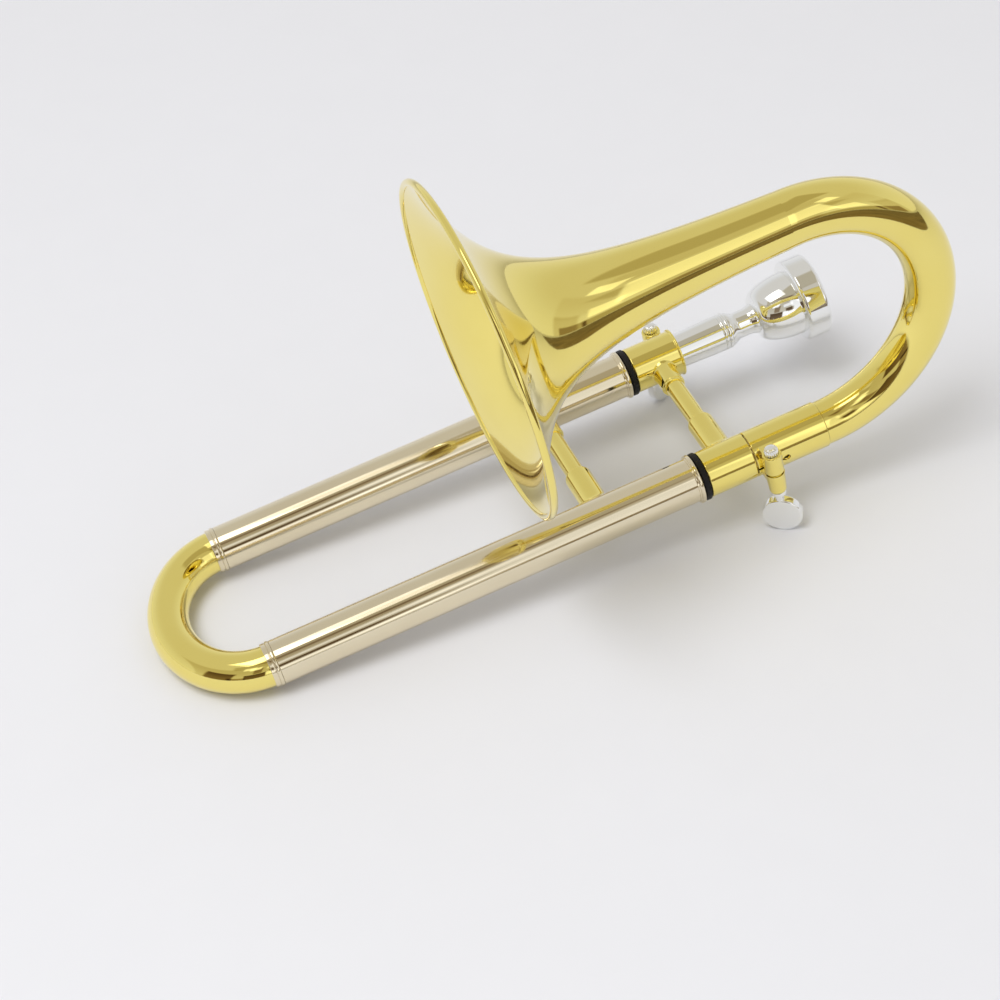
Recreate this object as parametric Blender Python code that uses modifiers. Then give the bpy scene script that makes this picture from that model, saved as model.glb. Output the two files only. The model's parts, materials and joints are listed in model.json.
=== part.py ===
"""Piccolo trombone, standing on its slide bow and on the paddles of its two clamp screws.

Every piece is modelled in the instrument's own axes: X runs along the slide legs from the slide
bow to the mouthpiece, with 0 at the open ends of the outer slide tubes. Y runs from the bell's leg
(0) to the mouthpiece's leg. Z runs up from the slide towards the bell. An empty holds them all and
gives the finished instrument the lean at which its three feet touch the ground.
"""
import math

import bmesh
import bpy
import numpy as np
from mathutils import Matrix, Vector

MM = 0.001

# Clearances
RUN_GAP = 0.3 * MM          # between pieces that slide or turn on each other
SEAM_GAP = 0.3 * MM         # between pieces that are soldered or butted
JOINT_GAP = 0.4 * MM        # open groove between the near cork barrel and the bell receiver

# Slide legs
LEG_SPACING = 53.7 * MM
OUTER_TUBE_R = 6.8 * MM
OUTER_TUBE_WALL = 0.4 * MM
OUTER_TUBE_LENGTH = 134.1 * MM
STOCKING_STEP = 0.2 * MM
STOCKING_LENGTH = 40.0 * MM
INNER_TUBE_WALL = 0.3 * MM
INNER_TUBE_SHORTER = 6.0 * MM
INNER_TUBE_IN_BARREL = 8.5 * MM

# Slide bow
SLIDE_BOW_R = 6.25 * MM
SLIDE_BOW_WALL = 0.6 * MM
SLIDE_BOW_LEAD = 1.4 * MM
SLIDE_BOW_DEPTH = 22.3 * MM
BOW_FERRULE_LENGTH = 2.4 * MM
BOW_FERRULE_R = 7.15 * MM
BOW_FERRULE_LIP = 0.25 * MM

# Rings, bumpers and barrels at the hand end of the slide
END_RING_R = 7.6 * MM
END_RING_LENGTH = 1.7 * MM
END_RING_PROUD = 0.5 * MM
RING_BEVEL = 0.35 * MM
BUMPER_R = 7.4 * MM
BUMPER_LENGTH = 1.7 * MM
BARREL_R = 7.1 * MM
BARREL_BEVEL = 0.3 * MM
NEAR_BARREL_LENGTH = 14.7 * MM
FAR_RECEIVER_LENGTH = 15.65 * MM
RECEIVER_LIP_R = 7.5 * MM
RECEIVER_LIP_LENGTH = 0.8 * MM

# Braces
BRACE_TUBE_R = 2.9 * MM
BRACE_TUBE_WALL = 0.5 * MM
BRACE_FERRULE_R = 4.1 * MM
BRACE_FERRULE_LENGTH = 14.0 * MM
BRACE_SOCKET_R = 3.7 * MM
BRACE_SOCKET_LENGTH = 7.4 * MM
BRACE_BEVEL = 0.3 * MM
OUTER_BRACE_X = -29.3 * MM
INNER_BRACE_FROM_BARREL = 8.6 * MM

# Bell section
BELL_AXIS_HEIGHT = 79.6 * MM
TENON_LENGTH = 22.0 * MM
BELL_RECEIVER_LENGTH = 23.3 * MM
BELL_RECEIVER_GRIP = 16.9 * MM
BELL_BOW_SMALL_R = 6.4 * MM
BELL_BOW_WALL = 0.5 * MM
BELL_BOW_STRAIGHT = 1.3 * MM
BELL_BOW_TAIL = 2.0 * MM
TAIL_R = 8.35 * MM
BELL_LENGTH = 94.8 * MM
BELL_MOUTH_R = 49.5 * MM
BELL_WALL = 0.55 * MM
FLARE_LENGTH = 25.0 * MM
FLARE_POWER = 2.0
RIM_BEAD_R = 1.15 * MM

# Clamps: a split in the sleeve's open end, a lug on each side of it and a thumbscrew through both
LUG_R = 2.95 * MM
NEAR_LUG_TOP = 6.7 * MM
FAR_LUG_TOP = 3.3 * MM
LUG_BOTTOM = -7.8 * MM
LUG_OUTBOARD = 2.7 * MM
NEAR_LUG_FROM_END = 3.7 * MM
FAR_LUG_FROM_LIP = 3.05 * MM
WEB_HALF_WIDTH = 2.2 * MM
WEB_BOTTOM = -5.2 * MM
WEB_BELOW_TOP = 0.4 * MM
SLIT_HEIGHT = -0.3 * MM
SLIT_WIDTH = 0.9 * MM
SLIT_LENGTH = 9.2 * MM
RELIEF_HOLE_R = 1.1 * MM
SCREW_R = 2.1 * MM
SCREW_TIP = 2.5 * MM
SCREW_DOME = 1.5 * MM
COLLAR_R = 2.4 * MM
COLLAR_LENGTH = 1.5 * MM
PADDLE_R = 6.1 * MM
PADDLE_THICKNESS = 3.0 * MM
PADDLE_DROP = 8.45 * MM
PADDLE_EDGE = 0.4 * MM
PADDLE_NECK_R = 1.4 * MM
PADDLE_NECK_INSIDE = 1.2 * MM
PADDLE_TURN = math.radians(33)

# Leadpipe and mouthpiece
SHANK_END_R = 4.85 * MM
SHANK_TAPER = 0.025
SHANK_IN_RECEIVER = 21.45 * MM
SHANK_VISIBLE = 14.85 * MM
LEADPIPE_LENGTH = 60.0 * MM
LEADPIPE_WALL = 0.4 * MM
LEADPIPE_NARROWING = 0.5 * MM
SHANK_BEAD_R = 5.7 * MM
SHANK_BEAD_LENGTH = 1.3 * MM
SHANK_BEAD_ROUND = 0.4 * MM
NECK_START_R = 5.4 * MM
NECK_R = 4.2 * MM
NECK_LENGTH = 9.4 * MM
NECK_TAPER = 3.3 * MM
NECK_FLARE = 2.8 * MM
NECK_END_R = 4.8 * MM
CUP_FOOT = 0.2 * MM
CUP_FOOT_R = 5.8 * MM
CUP_BODY_R = 10.3 * MM
CUP_BODY_LENGTH = 13.0 * MM
RIM_BAND_R = 13.1 * MM
RIM_BAND_LENGTH = 8.0 * MM
RIM_BACK_ROUND = 1.2 * MM
RIM_FRONT_ROUND = 1.6 * MM
CUP_R = 8.3 * MM
CUP_DEPTH = 11.5 * MM
CUP_FLOOR_R = 3.7 * MM
CUP_EDGE = 0.8 * MM
THROAT_FUNNEL = 3.0 * MM
THROAT_R = 1.85 * MM
THROAT_LENGTH = 6.0 * MM
BACKBORE_END_R = 4.2 * MM

# How far a cutter runs past what it cuts
CUTTER_OVER = 3.0 * MM

# Steps round each kind of turned piece
LEG_STEPS = 24
SMALL_STEPS = 16
BELL_STEPS = 36
SLIDE_BOW_SIDES = 16
BELL_BOW_SIDES = 18
BOW_STEPS = 20
FLARE_STEPS = 14
FLARE_CROWDING = 1.8
BEAD_SIDES = 8
CUP_STEPS = 6
ROUND_STEPS = 3

# Values that follow from the ones above
OUTER_TUBE_BORE = OUTER_TUBE_R - OUTER_TUBE_WALL
STOCKING_R = OUTER_TUBE_BORE - RUN_GAP
INNER_TUBE_R = STOCKING_R - STOCKING_STEP
INNER_TUBE_BORE = INNER_TUBE_R - INNER_TUBE_WALL
BARREL_BORE = INNER_TUBE_R + SEAM_GAP
BUMPER_START = END_RING_PROUD + RUN_GAP
BARREL_START = BUMPER_START + BUMPER_LENGTH + SEAM_GAP
NEAR_BARREL_END = BARREL_START + NEAR_BARREL_LENGTH
FAR_RECEIVER_END = BARREL_START + FAR_RECEIVER_LENGTH
INNER_TUBE_END = BARREL_START + INNER_TUBE_IN_BARREL
INNER_TUBE_START = INNER_TUBE_SHORTER - OUTER_TUBE_LENGTH
TENON_START = INNER_TUBE_END + SEAM_GAP
TENON_END = TENON_START + TENON_LENGTH
BELL_RECEIVER_START = NEAR_BARREL_END + JOINT_GAP
BELL_RECEIVER_END = BELL_RECEIVER_START + BELL_RECEIVER_LENGTH
BELL_RECEIVER_STEP = BELL_RECEIVER_START + BELL_RECEIVER_GRIP
BELL_BOW_X = BELL_RECEIVER_END + BELL_BOW_STRAIGHT
BELL_BOW_RADIUS = BELL_AXIS_HEIGHT / 2
RIM_X = BELL_BOW_X - BELL_LENGTH
SLIDE_BOW_END = -OUTER_TUBE_LENGTH - SEAM_GAP
SLIDE_BOW_X = SLIDE_BOW_END - SLIDE_BOW_LEAD
NEAR_LUG_X = BELL_RECEIVER_START + NEAR_LUG_FROM_END
FAR_LUG_X = FAR_RECEIVER_END - RECEIVER_LIP_LENGTH - FAR_LUG_FROM_LIP
LUG_Y = BARREL_R + LUG_OUTBOARD
SHANK_START = FAR_RECEIVER_END - SHANK_IN_RECEIVER
PADDLE_CENTRE = LUG_BOTTOM - RUN_GAP - COLLAR_LENGTH - PADDLE_DROP
PADDLE_NECK_END = PADDLE_CENTRE + PADDLE_R - PADDLE_NECK_INSIDE
INNER_BRACE_X = BARREL_START + INNER_BRACE_FROM_BARREL

GOLD = "gold_lacquered_brass"
NICKEL = "nickel_silver"
SILVER = "silver_plate"
RUBBER = "black_rubber"
FINISHES = {
    GOLD: ((0.80, 0.58, 0.16, 1.0), 1.0, 0.12),
    NICKEL: ((0.80, 0.74, 0.62, 1.0), 1.0, 0.14),
    SILVER: ((0.90, 0.90, 0.88, 1.0), 1.0, 0.08),
    RUBBER: ((0.02, 0.02, 0.02, 1.0), 0.0, 0.6),
}


def clear_scene():
    """Remove every object, so the script gives the same result in any file."""
    for thing in list(bpy.data.objects):
        bpy.data.objects.remove(thing)


def new_collection(name):
    """A collection linked to the scene."""
    collection = bpy.data.collections.new(name)
    bpy.context.scene.collection.children.link(collection)
    return collection


def finish(name):
    """The shared Principled material of one finish."""
    material = bpy.data.materials.get(name)
    if material:
        return material
    colour, metallic, roughness = FINISHES[name]
    material = bpy.data.materials.new(name)
    material.use_nodes = True
    shader = material.node_tree.nodes["Principled BSDF"]
    shader.inputs["Base Color"].default_value = colour
    shader.inputs["Metallic"].default_value = metallic
    shader.inputs["Roughness"].default_value = roughness
    return material


def place(thing, matrix, parent, collection):
    """Link an object and set where it stands in the instrument's axes."""
    collection.objects.link(thing)
    thing.parent = parent
    thing.matrix_local = matrix


def along_x(x, y, z=0.0):
    """Matrix that lays a piece turned about its own Z along the instrument's X."""
    return Matrix.Translation((x, y, z)) @ Matrix.Rotation(math.pi / 2, 4, "Y")


def along_y(x, y, z=0.0):
    """Matrix that lays a piece turned about its own Z along the instrument's Y."""
    return Matrix.Translation((x, y, z)) @ Matrix.Rotation(-math.pi / 2, 4, "X")


def ring_outline(outer, bore):
    """Outline of a tube wall as (height, radius) points, outer side first, from its top down."""
    down = sorted(outer, key=lambda point: -point[0])
    up = sorted(bore, key=lambda point: point[0])
    return down + up


def turned(name, outline, steps, matrix, parent, collection, closed=True):
    """A piece turned about its own Z with a Screw modifier."""
    mesh = bpy.data.meshes.new(name)
    edges = [(i, i + 1) for i in range(len(outline) - 1)]
    if closed:
        edges.append((len(outline) - 1, 0))
    mesh.from_pydata([(radius, 0.0, height) for height, radius in outline], edges, [])
    piece = bpy.data.objects.new(name, mesh)
    place(piece, matrix, parent, collection)
    screw = piece.modifiers.new("turn", "SCREW")
    screw.steps = steps
    screw.render_steps = steps
    screw.use_merge_vertices = True
    screw.merge_threshold = 0.00001
    screw.use_smooth_shade = True
    return piece


def tube(name, start, end, radius, bore, y, material, rig, steps=LEG_STEPS):
    """A plain tube along a leg from start to end."""
    outline = ring_outline([(start, radius), (end, radius)], [(start, bore), (end, bore)])
    piece = turned(name, outline, steps, along_x(0, y), rig["root"], rig["parts"])
    piece.data.materials.append(finish(material))
    return piece


def cylinder_cutter(name, radius, length, matrix, rig, steps=SMALL_STEPS):
    """A round cutter whose middle is at the matrix's origin."""
    mesh = bpy.data.meshes.new(name)
    shape = bmesh.new()
    bmesh.ops.create_cone(shape, cap_ends=True, segments=steps, radius1=radius, radius2=radius, depth=length)
    shape.to_mesh(mesh)
    shape.free()
    return hidden(bpy.data.objects.new(name, mesh), matrix, rig)


def box_cutter(name, low, high, rig):
    """A box cutter between two corners in the instrument's axes."""
    mesh = bpy.data.meshes.new(name)
    shape = bmesh.new()
    bmesh.ops.create_cube(shape, size=1.0)
    size = [high[i] - low[i] for i in range(3)]
    bmesh.ops.scale(shape, vec=size, verts=shape.verts)
    shape.to_mesh(mesh)
    shape.free()
    middle = [(high[i] + low[i]) / 2 for i in range(3)]
    return hidden(bpy.data.objects.new(name, mesh), Matrix.Translation(middle), rig)


def hidden(cutter, matrix, rig):
    """Keep a cutter out of the model."""
    place(cutter, matrix, rig["root"], rig["cutters"])
    cutter.display_type = "WIRE"
    cutter.hide_render = True
    return cutter


def combine(piece, other, operation):
    """Add a Boolean with the EXACT solver to a piece."""
    modifier = piece.modifiers.new(operation.lower(), "BOOLEAN")
    modifier.operation = operation
    modifier.solver = "EXACT"
    modifier.object = other


def curved_tube(name, points, radii, wall, segments, material, rig):
    """A hollow bent tube: a bevelled curve made into a mesh and given its wall inwards."""
    curve = bpy.data.curves.new(name, "CURVE")
    curve.dimensions = "3D"
    curve.bevel_depth = MM
    curve.bevel_resolution = segments // 2 - 2
    curve.use_fill_caps = False
    spline = curve.splines.new("POLY")
    spline.points.add(len(points) - 1)
    for target, point, radius in zip(spline.points, points, radii):
        target.co = (*point, 1.0)
        target.radius = radius / MM
    guide = bpy.data.objects.new(name + "_guide", curve)
    rig["parts"].objects.link(guide)
    evaluated = guide.evaluated_get(bpy.context.evaluated_depsgraph_get())
    mesh = bpy.data.meshes.new_from_object(evaluated)
    bpy.data.objects.remove(guide)
    mesh.name = name
    mesh.shade_smooth()
    piece = bpy.data.objects.new(name, mesh)
    place(piece, Matrix.Identity(4), rig["root"], rig["parts"])
    shell = piece.modifiers.new("wall", "SOLIDIFY")
    shell.thickness = wall
    shell.offset = -1.0
    shell.use_even_offset = True
    piece.data.materials.clear()
    piece.data.materials.append(finish(material))
    return piece


def half_oval(centre, side, depth_way, half_width, depth, count):
    """Points of a half oval: from centre - side through the tip along depth_way to centre + side."""
    centre, side, depth_way = Vector(centre), Vector(side), Vector(depth_way)
    points = []
    for i in range(count + 1):
        angle = math.pi * i / count - math.pi / 2
        points.append(centre + side * half_width * math.sin(angle) + depth_way * depth * math.cos(angle))
    return points


def make_outer_slide(rig):
    """Two outer tubes, their end rings, the bow that joins them and its ferrules."""
    for leg, y in (("near", 0.0), ("far", LEG_SPACING)):
        tube(f"outer_tube_{leg}", -OUTER_TUBE_LENGTH, 0, OUTER_TUBE_R, OUTER_TUBE_BORE, y, NICKEL, rig)
        ring_bore = OUTER_TUBE_R + SEAM_GAP
        start, end = END_RING_PROUD - END_RING_LENGTH, END_RING_PROUD
        outer = [(start, END_RING_R - RING_BEVEL), (start + RING_BEVEL, END_RING_R)]
        outer += [(end - RING_BEVEL, END_RING_R), (end, END_RING_R - RING_BEVEL)]
        bore = [(start, ring_bore), (end, ring_bore)]
        ring = turned(f"outer_end_ring_{leg}", ring_outline(outer, bore), LEG_STEPS,
                      along_x(0, y), rig["root"], rig["parts"])
        ring.data.materials.append(finish(NICKEL))
        ferrule_bore = SLIDE_BOW_R + SEAM_GAP
        low = SLIDE_BOW_END - BOW_FERRULE_LENGTH
        outer = [(low, ferrule_bore + BOW_FERRULE_LIP), (low + RING_BEVEL, BOW_FERRULE_R)]
        outer += [(SLIDE_BOW_END - RING_BEVEL, BOW_FERRULE_R), (SLIDE_BOW_END, BOW_FERRULE_R - RING_BEVEL)]
        bore = [(low, ferrule_bore), (SLIDE_BOW_END, ferrule_bore)]
        ferrule = turned(f"slide_bow_ferrule_{leg}", ring_outline(outer, bore), LEG_STEPS,
                         along_x(0, y), rig["root"], rig["parts"])
        ferrule.data.materials.append(finish(NICKEL))
    half = LEG_SPACING / 2
    points = half_oval((SLIDE_BOW_X, half, 0), (0, 1, 0), (-1, 0, 0), half, SLIDE_BOW_DEPTH, BOW_STEPS)
    points = [Vector((SLIDE_BOW_END, 0, 0))] + points + [Vector((SLIDE_BOW_END, LEG_SPACING, 0))]
    curved_tube("slide_bow", points, [SLIDE_BOW_R] * len(points), SLIDE_BOW_WALL, SLIDE_BOW_SIDES, GOLD, rig)


def make_inner_slide(rig):
    """Inner tubes with their thicker stockings, bumpers, the near cork barrel and the bell's tenon."""
    for leg, y in (("near", 0.0), ("far", LEG_SPACING)):
        stocking_end = INNER_TUBE_START + STOCKING_LENGTH
        outer = [(INNER_TUBE_START, STOCKING_R), (stocking_end, STOCKING_R)]
        outer += [(stocking_end + STOCKING_STEP, INNER_TUBE_R), (INNER_TUBE_END, INNER_TUBE_R)]
        bore = [(INNER_TUBE_START, INNER_TUBE_BORE), (INNER_TUBE_END, INNER_TUBE_BORE)]
        inner = turned(f"inner_tube_{leg}", ring_outline(outer, bore), LEG_STEPS,
                       along_x(0, y), rig["root"], rig["parts"])
        inner.data.materials.append(finish(NICKEL))
        tube(f"bumper_{leg}", BUMPER_START, BUMPER_START + BUMPER_LENGTH, BUMPER_R, BARREL_BORE, y, RUBBER, rig)
    tube("cork_barrel_near", BARREL_START, NEAR_BARREL_END, BARREL_R, BARREL_BORE, 0, GOLD, rig)
    tube("bell_tenon", TENON_START, TENON_END, INNER_TUBE_R, INNER_TUBE_BORE, 0, NICKEL, rig)
    pipe_end = SHANK_START - SEAM_GAP - RUN_GAP
    pipe_r = INNER_TUBE_BORE - SEAM_GAP
    outer = [(pipe_end - LEADPIPE_LENGTH, pipe_r), (pipe_end, pipe_r)]
    bore = [(pipe_end - LEADPIPE_LENGTH, pipe_r - LEADPIPE_WALL)]
    bore += [(pipe_end, pipe_r - LEADPIPE_WALL - LEADPIPE_NARROWING)]
    pipe = turned("leadpipe", ring_outline(outer, bore), SMALL_STEPS,
                  along_x(0, LEG_SPACING), rig["root"], rig["parts"])
    pipe.data.materials.append(finish(GOLD))


def add_lugs(piece, name, x, y, side, top, rig):
    """Join the lug post and its web to a sleeve. side is -1 outboard of the near leg, +1 of the far leg."""
    lug_y = y + side * LUG_Y
    post = cylinder_cutter(name + "_post", LUG_R, top - LUG_BOTTOM,
                           Matrix.Translation((x, lug_y, (top + LUG_BOTTOM) / 2)), rig)
    combine(piece, post, "UNION")
    low_y, high_y = sorted((y, lug_y))
    web = box_cutter(name + "_web", (x - WEB_HALF_WIDTH, low_y, WEB_BOTTOM),
                     (x + WEB_HALF_WIDTH, high_y, top - WEB_BELOW_TOP), rig)
    combine(piece, web, "UNION")


def split_and_drill(piece, name, x, y, side, open_end, inwards, rig):
    """Cut the split from open_end in the direction inwards, its relief hole and the screw's hole."""
    lug_y = y + side * LUG_Y
    split_end = open_end + inwards * SLIT_LENGTH
    low_x, high_x = sorted((split_end, open_end - inwards * CUTTER_OVER))
    low_y, high_y = sorted((y, lug_y + side * (LUG_R + CUTTER_OVER)))
    half = SLIT_WIDTH / 2
    slit = box_cutter(name + "_slit", (low_x, low_y, SLIT_HEIGHT - half),
                      (high_x, high_y, SLIT_HEIGHT + half), rig)
    combine(piece, slit, "DIFFERENCE")
    reach = BARREL_R + CUTTER_OVER
    relief = cylinder_cutter(name + "_relief", RELIEF_HOLE_R, reach,
                             along_y(split_end, y + side * reach / 2, SLIT_HEIGHT), rig)
    combine(piece, relief, "DIFFERENCE")
    drill = cylinder_cutter(name + "_drill", SCREW_R + RUN_GAP, 4 * (NEAR_LUG_TOP - LUG_BOTTOM),
                            Matrix.Translation((x, lug_y, 0)), rig)
    combine(piece, drill, "DIFFERENCE")


def long_bore(name, outline, y, rig):
    """A turned cutter along a leg."""
    bore = turned(name, outline, LEG_STEPS, along_x(0, y), rig["root"], rig["cutters"], False)
    bore.display_type = "WIRE"
    bore.hide_render = True
    return bore


def make_bell_receiver(rig):
    """The sleeve that holds the bell bow and clamps on the slide's tenon."""
    start, end = BELL_RECEIVER_START, BELL_RECEIVER_END
    outline = [(end, 0), (end, BARREL_R - BARREL_BEVEL), (end - BARREL_BEVEL, BARREL_R)]
    outline += [(start + BARREL_BEVEL, BARREL_R), (start, BARREL_R - BARREL_BEVEL), (start, 0)]
    sleeve = turned("bell_receiver", outline, LEG_STEPS, along_x(0, 0), rig["root"], rig["parts"], False)
    sleeve.data.materials.append(finish(GOLD))
    add_lugs(sleeve, "near_clamp", NEAR_LUG_X, 0, -1, NEAR_LUG_TOP, rig)
    grip_bore = INNER_TUBE_R + RUN_GAP
    bow_bore = BELL_BOW_SMALL_R + SEAM_GAP
    low, high = start - CUTTER_OVER, end + CUTTER_OVER
    outline = [(high, 0), (high, bow_bore), (BELL_RECEIVER_STEP, bow_bore)]
    outline += [(BELL_RECEIVER_STEP, grip_bore), (low, grip_bore), (low, 0)]
    combine(sleeve, long_bore("near_clamp_bore", outline, 0, rig), "DIFFERENCE")
    split_and_drill(sleeve, "near_clamp", NEAR_LUG_X, 0, -1, start, 1, rig)


def make_mouthpiece_receiver(rig):
    """The far barrel: it holds the inner tube at one end and clamps the mouthpiece at the other."""
    y = LEG_SPACING
    start, end = BARREL_START, FAR_RECEIVER_END
    lip = end - RECEIVER_LIP_LENGTH
    outline = [(end, 0), (end, RECEIVER_LIP_R - BARREL_BEVEL), (end - BARREL_BEVEL, RECEIVER_LIP_R)]
    outline += [(lip + BARREL_BEVEL, RECEIVER_LIP_R), (lip, BARREL_R), (start, BARREL_R), (start, 0)]
    barrel = turned("mouthpiece_receiver", outline, LEG_STEPS, along_x(0, y), rig["root"], rig["parts"], False)
    barrel.data.materials.append(finish(GOLD))
    add_lugs(barrel, "far_clamp", FAR_LUG_X, y, 1, FAR_LUG_TOP, rig)
    step = INNER_TUBE_END + SEAM_GAP
    low, high = start - CUTTER_OVER, end + CUTTER_OVER
    taper_low = shank_radius(step) + SEAM_GAP
    taper_high = shank_radius(high) + SEAM_GAP
    outline = [(high, 0), (high, taper_high), (step, taper_low), (step, BARREL_BORE)]
    outline += [(low, BARREL_BORE), (low, 0)]
    combine(barrel, long_bore("far_clamp_bore", outline, y, rig), "DIFFERENCE")
    split_and_drill(barrel, "far_clamp", FAR_LUG_X, y, 1, end, -1, rig)


def make_thumbscrew(name, x, y, lug_top, turn, rig):
    """A clamp screw: domed end, shank, collar and a round paddle. Its origin is on its own axis."""
    top = lug_top + SCREW_TIP
    outline = [(top, 0)]
    for i in range(1, ROUND_STEPS + 1):
        angle = math.pi / 2 * i / ROUND_STEPS
        outline.append((top - SCREW_DOME + SCREW_DOME * math.cos(angle), SCREW_R * math.sin(angle)))
    collar_top = LUG_BOTTOM - RUN_GAP
    collar_bottom = collar_top - COLLAR_LENGTH
    outline += [(collar_top, SCREW_R), (collar_top, COLLAR_R), (collar_bottom, COLLAR_R)]
    outline += [(collar_bottom, PADDLE_NECK_R), (PADDLE_NECK_END, PADDLE_NECK_R), (PADDLE_NECK_END, 0)]
    matrix = Matrix.Translation((x, y, 0)) @ Matrix.Rotation(turn, 4, "Z")
    screw = turned(name, outline, SMALL_STEPS, matrix, rig["root"], rig["parts"], False)
    screw.data.materials.append(finish(SILVER))
    half = PADDLE_THICKNESS / 2
    outline = [(half, 0), (half, PADDLE_R - PADDLE_EDGE), (half - PADDLE_EDGE, PADDLE_R)]
    outline += [(PADDLE_EDGE - half, PADDLE_R), (-half, PADDLE_R - PADDLE_EDGE), (-half, 0)]
    local = matrix @ along_y(0, 0, PADDLE_CENTRE)
    paddle = turned(name + "_paddle", outline, LEG_STEPS, local, rig["root"], rig["cutters"], False)
    paddle.display_type = "WIRE"
    paddle.hide_render = True
    combine(screw, paddle, "UNION")


def make_brace(name, x, leg_r, rig):
    """A cross brace: a tube, a long ferrule at the near leg and a short socket at the far leg.

    Each piece starts at the leg's axis and is then cut to a saddle that fits round the leg.
    """
    leg_surface = leg_r + SEAM_GAP
    near_end = leg_surface + BRACE_FERRULE_LENGTH
    far_end = LEG_SPACING - leg_surface - BRACE_SOCKET_LENGTH
    bore = BRACE_TUBE_R - BRACE_TUBE_WALL
    rod = ring_outline([(0, BRACE_TUBE_R), (LEG_SPACING, BRACE_TUBE_R)], [(0, bore), (LEG_SPACING, bore)])
    sleeve_bore = BRACE_TUBE_R + SEAM_GAP
    ferrule = ring_outline([(0, BRACE_FERRULE_R), (near_end - BRACE_BEVEL, BRACE_FERRULE_R),
                            (near_end, BRACE_FERRULE_R - BRACE_BEVEL)],
                           [(0, sleeve_bore), (near_end, sleeve_bore)])
    socket = ring_outline([(far_end, BRACE_SOCKET_R - BRACE_BEVEL), (far_end + BRACE_BEVEL, BRACE_SOCKET_R),
                           (LEG_SPACING, BRACE_SOCKET_R)],
                          [(far_end, sleeve_bore), (LEG_SPACING, sleeve_bore)])
    saddles = []
    for end_name, leg_y in (("near", 0.0), ("far", LEG_SPACING)):
        saddles.append(cylinder_cutter(f"{name}_brace_saddle_{end_name}", leg_surface, 4 * BRACE_FERRULE_R,
                                       along_x(x, leg_y), rig, LEG_STEPS))
    shapes = (
        ("_brace_tube", rod, saddles),
        ("_brace_ferrule", ferrule, saddles[:1]),
        ("_brace_socket", socket, saddles[1:]),
    )
    for suffix, outline, cuts in shapes:
        piece = turned(name + suffix, outline, SMALL_STEPS, along_y(x, 0), rig["root"], rig["parts"])
        piece.data.materials.append(finish(GOLD))
        for cut in cuts:
            combine(piece, cut, "DIFFERENCE")


def flare_spread(distance):
    """The share of the flare's spread that is left at a distance behind the mouth."""
    return (1 + distance / FLARE_LENGTH) ** -FLARE_POWER


def flare_radius(distance):
    """Outer radius of the bell at a distance behind its mouth."""
    tail = flare_spread(BELL_LENGTH)
    return TAIL_R + (BELL_MOUTH_R - TAIL_R) * (flare_spread(distance) - tail) / (1 - tail)


def flare_slope(distance):
    """How fast the bell's radius changes with the distance behind its mouth; it is negative."""
    fall = FLARE_POWER / FLARE_LENGTH * (1 + distance / FLARE_LENGTH) ** (-FLARE_POWER - 1)
    return -(BELL_MOUTH_R - TAIL_R) * fall / (1 - flare_spread(BELL_LENGTH))


def flare_edge():
    """Distance behind the mouth at which the sheet meets the rim bead."""
    return (RIM_BEAD_R + SEAM_GAP) / math.hypot(1, flare_slope(0))


def make_bell(rig):
    """Bell bow, bell and the bead round its mouth."""
    radius = BELL_BOW_RADIUS
    points = half_oval((BELL_BOW_X, 0, radius), (0, 0, 1), (1, 0, 0), radius, radius, BOW_STEPS)
    count = len(points) - 1
    radii = [BELL_BOW_SMALL_R + (TAIL_R - BELL_BOW_SMALL_R) * i / count for i in range(len(points))]
    start = Vector((BELL_RECEIVER_STEP + SEAM_GAP, 0, 0))
    tail = Vector((BELL_BOW_X - BELL_BOW_TAIL, 0, BELL_AXIS_HEIGHT))
    points = [start] + points + [tail]
    radii = [BELL_BOW_SMALL_R] + radii + [TAIL_R]
    curved_tube("bell_bow", points, radii, BELL_BOW_WALL, BELL_BOW_SIDES, GOLD, rig)
    nearest = flare_edge()
    length = BELL_LENGTH - BELL_BOW_TAIL - SEAM_GAP - nearest
    outer, bore = [], []
    for i in range(FLARE_STEPS + 1):
        distance = nearest + length * (i / FLARE_STEPS) ** FLARE_CROWDING
        radius = flare_radius(distance)
        slope = flare_slope(distance)
        lean = math.hypot(1, slope)
        outer.append((RIM_X + distance, radius))
        bore.append((RIM_X + distance + BELL_WALL * slope / lean, radius - BELL_WALL / lean))
    bell = turned("bell", ring_outline(outer, bore), BELL_STEPS,
                  along_x(0, 0, BELL_AXIS_HEIGHT), rig["root"], rig["parts"])
    bell.data.materials.append(finish(GOLD))
    outline = []
    for i in range(BEAD_SIDES):
        angle = 2 * math.pi * i / BEAD_SIDES
        outline.append((RIM_X + RIM_BEAD_R * math.cos(angle), BELL_MOUTH_R + RIM_BEAD_R * math.sin(angle)))
    bead = turned("bell_rim_bead", outline, BELL_STEPS,
                  along_x(0, 0, BELL_AXIS_HEIGHT), rig["root"], rig["parts"])
    bead.data.materials.append(finish(GOLD))


def shank_radius(x):
    """Radius of the mouthpiece's tapered shank at a place along the leg."""
    return SHANK_END_R + SHANK_TAPER * (x - SHANK_START)


def swell(start, end, steps):
    """Points along a quarter ellipse from (x, radius) start to end: steep at the start, level at the end."""
    points = []
    for i in range(steps + 1):
        angle = math.pi / 2 * i / steps
        x = end[0] + (start[0] - end[0]) * math.cos(angle)
        points.append((x, start[1] + (end[1] - start[1]) * math.sin(angle)))
    return points


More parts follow.
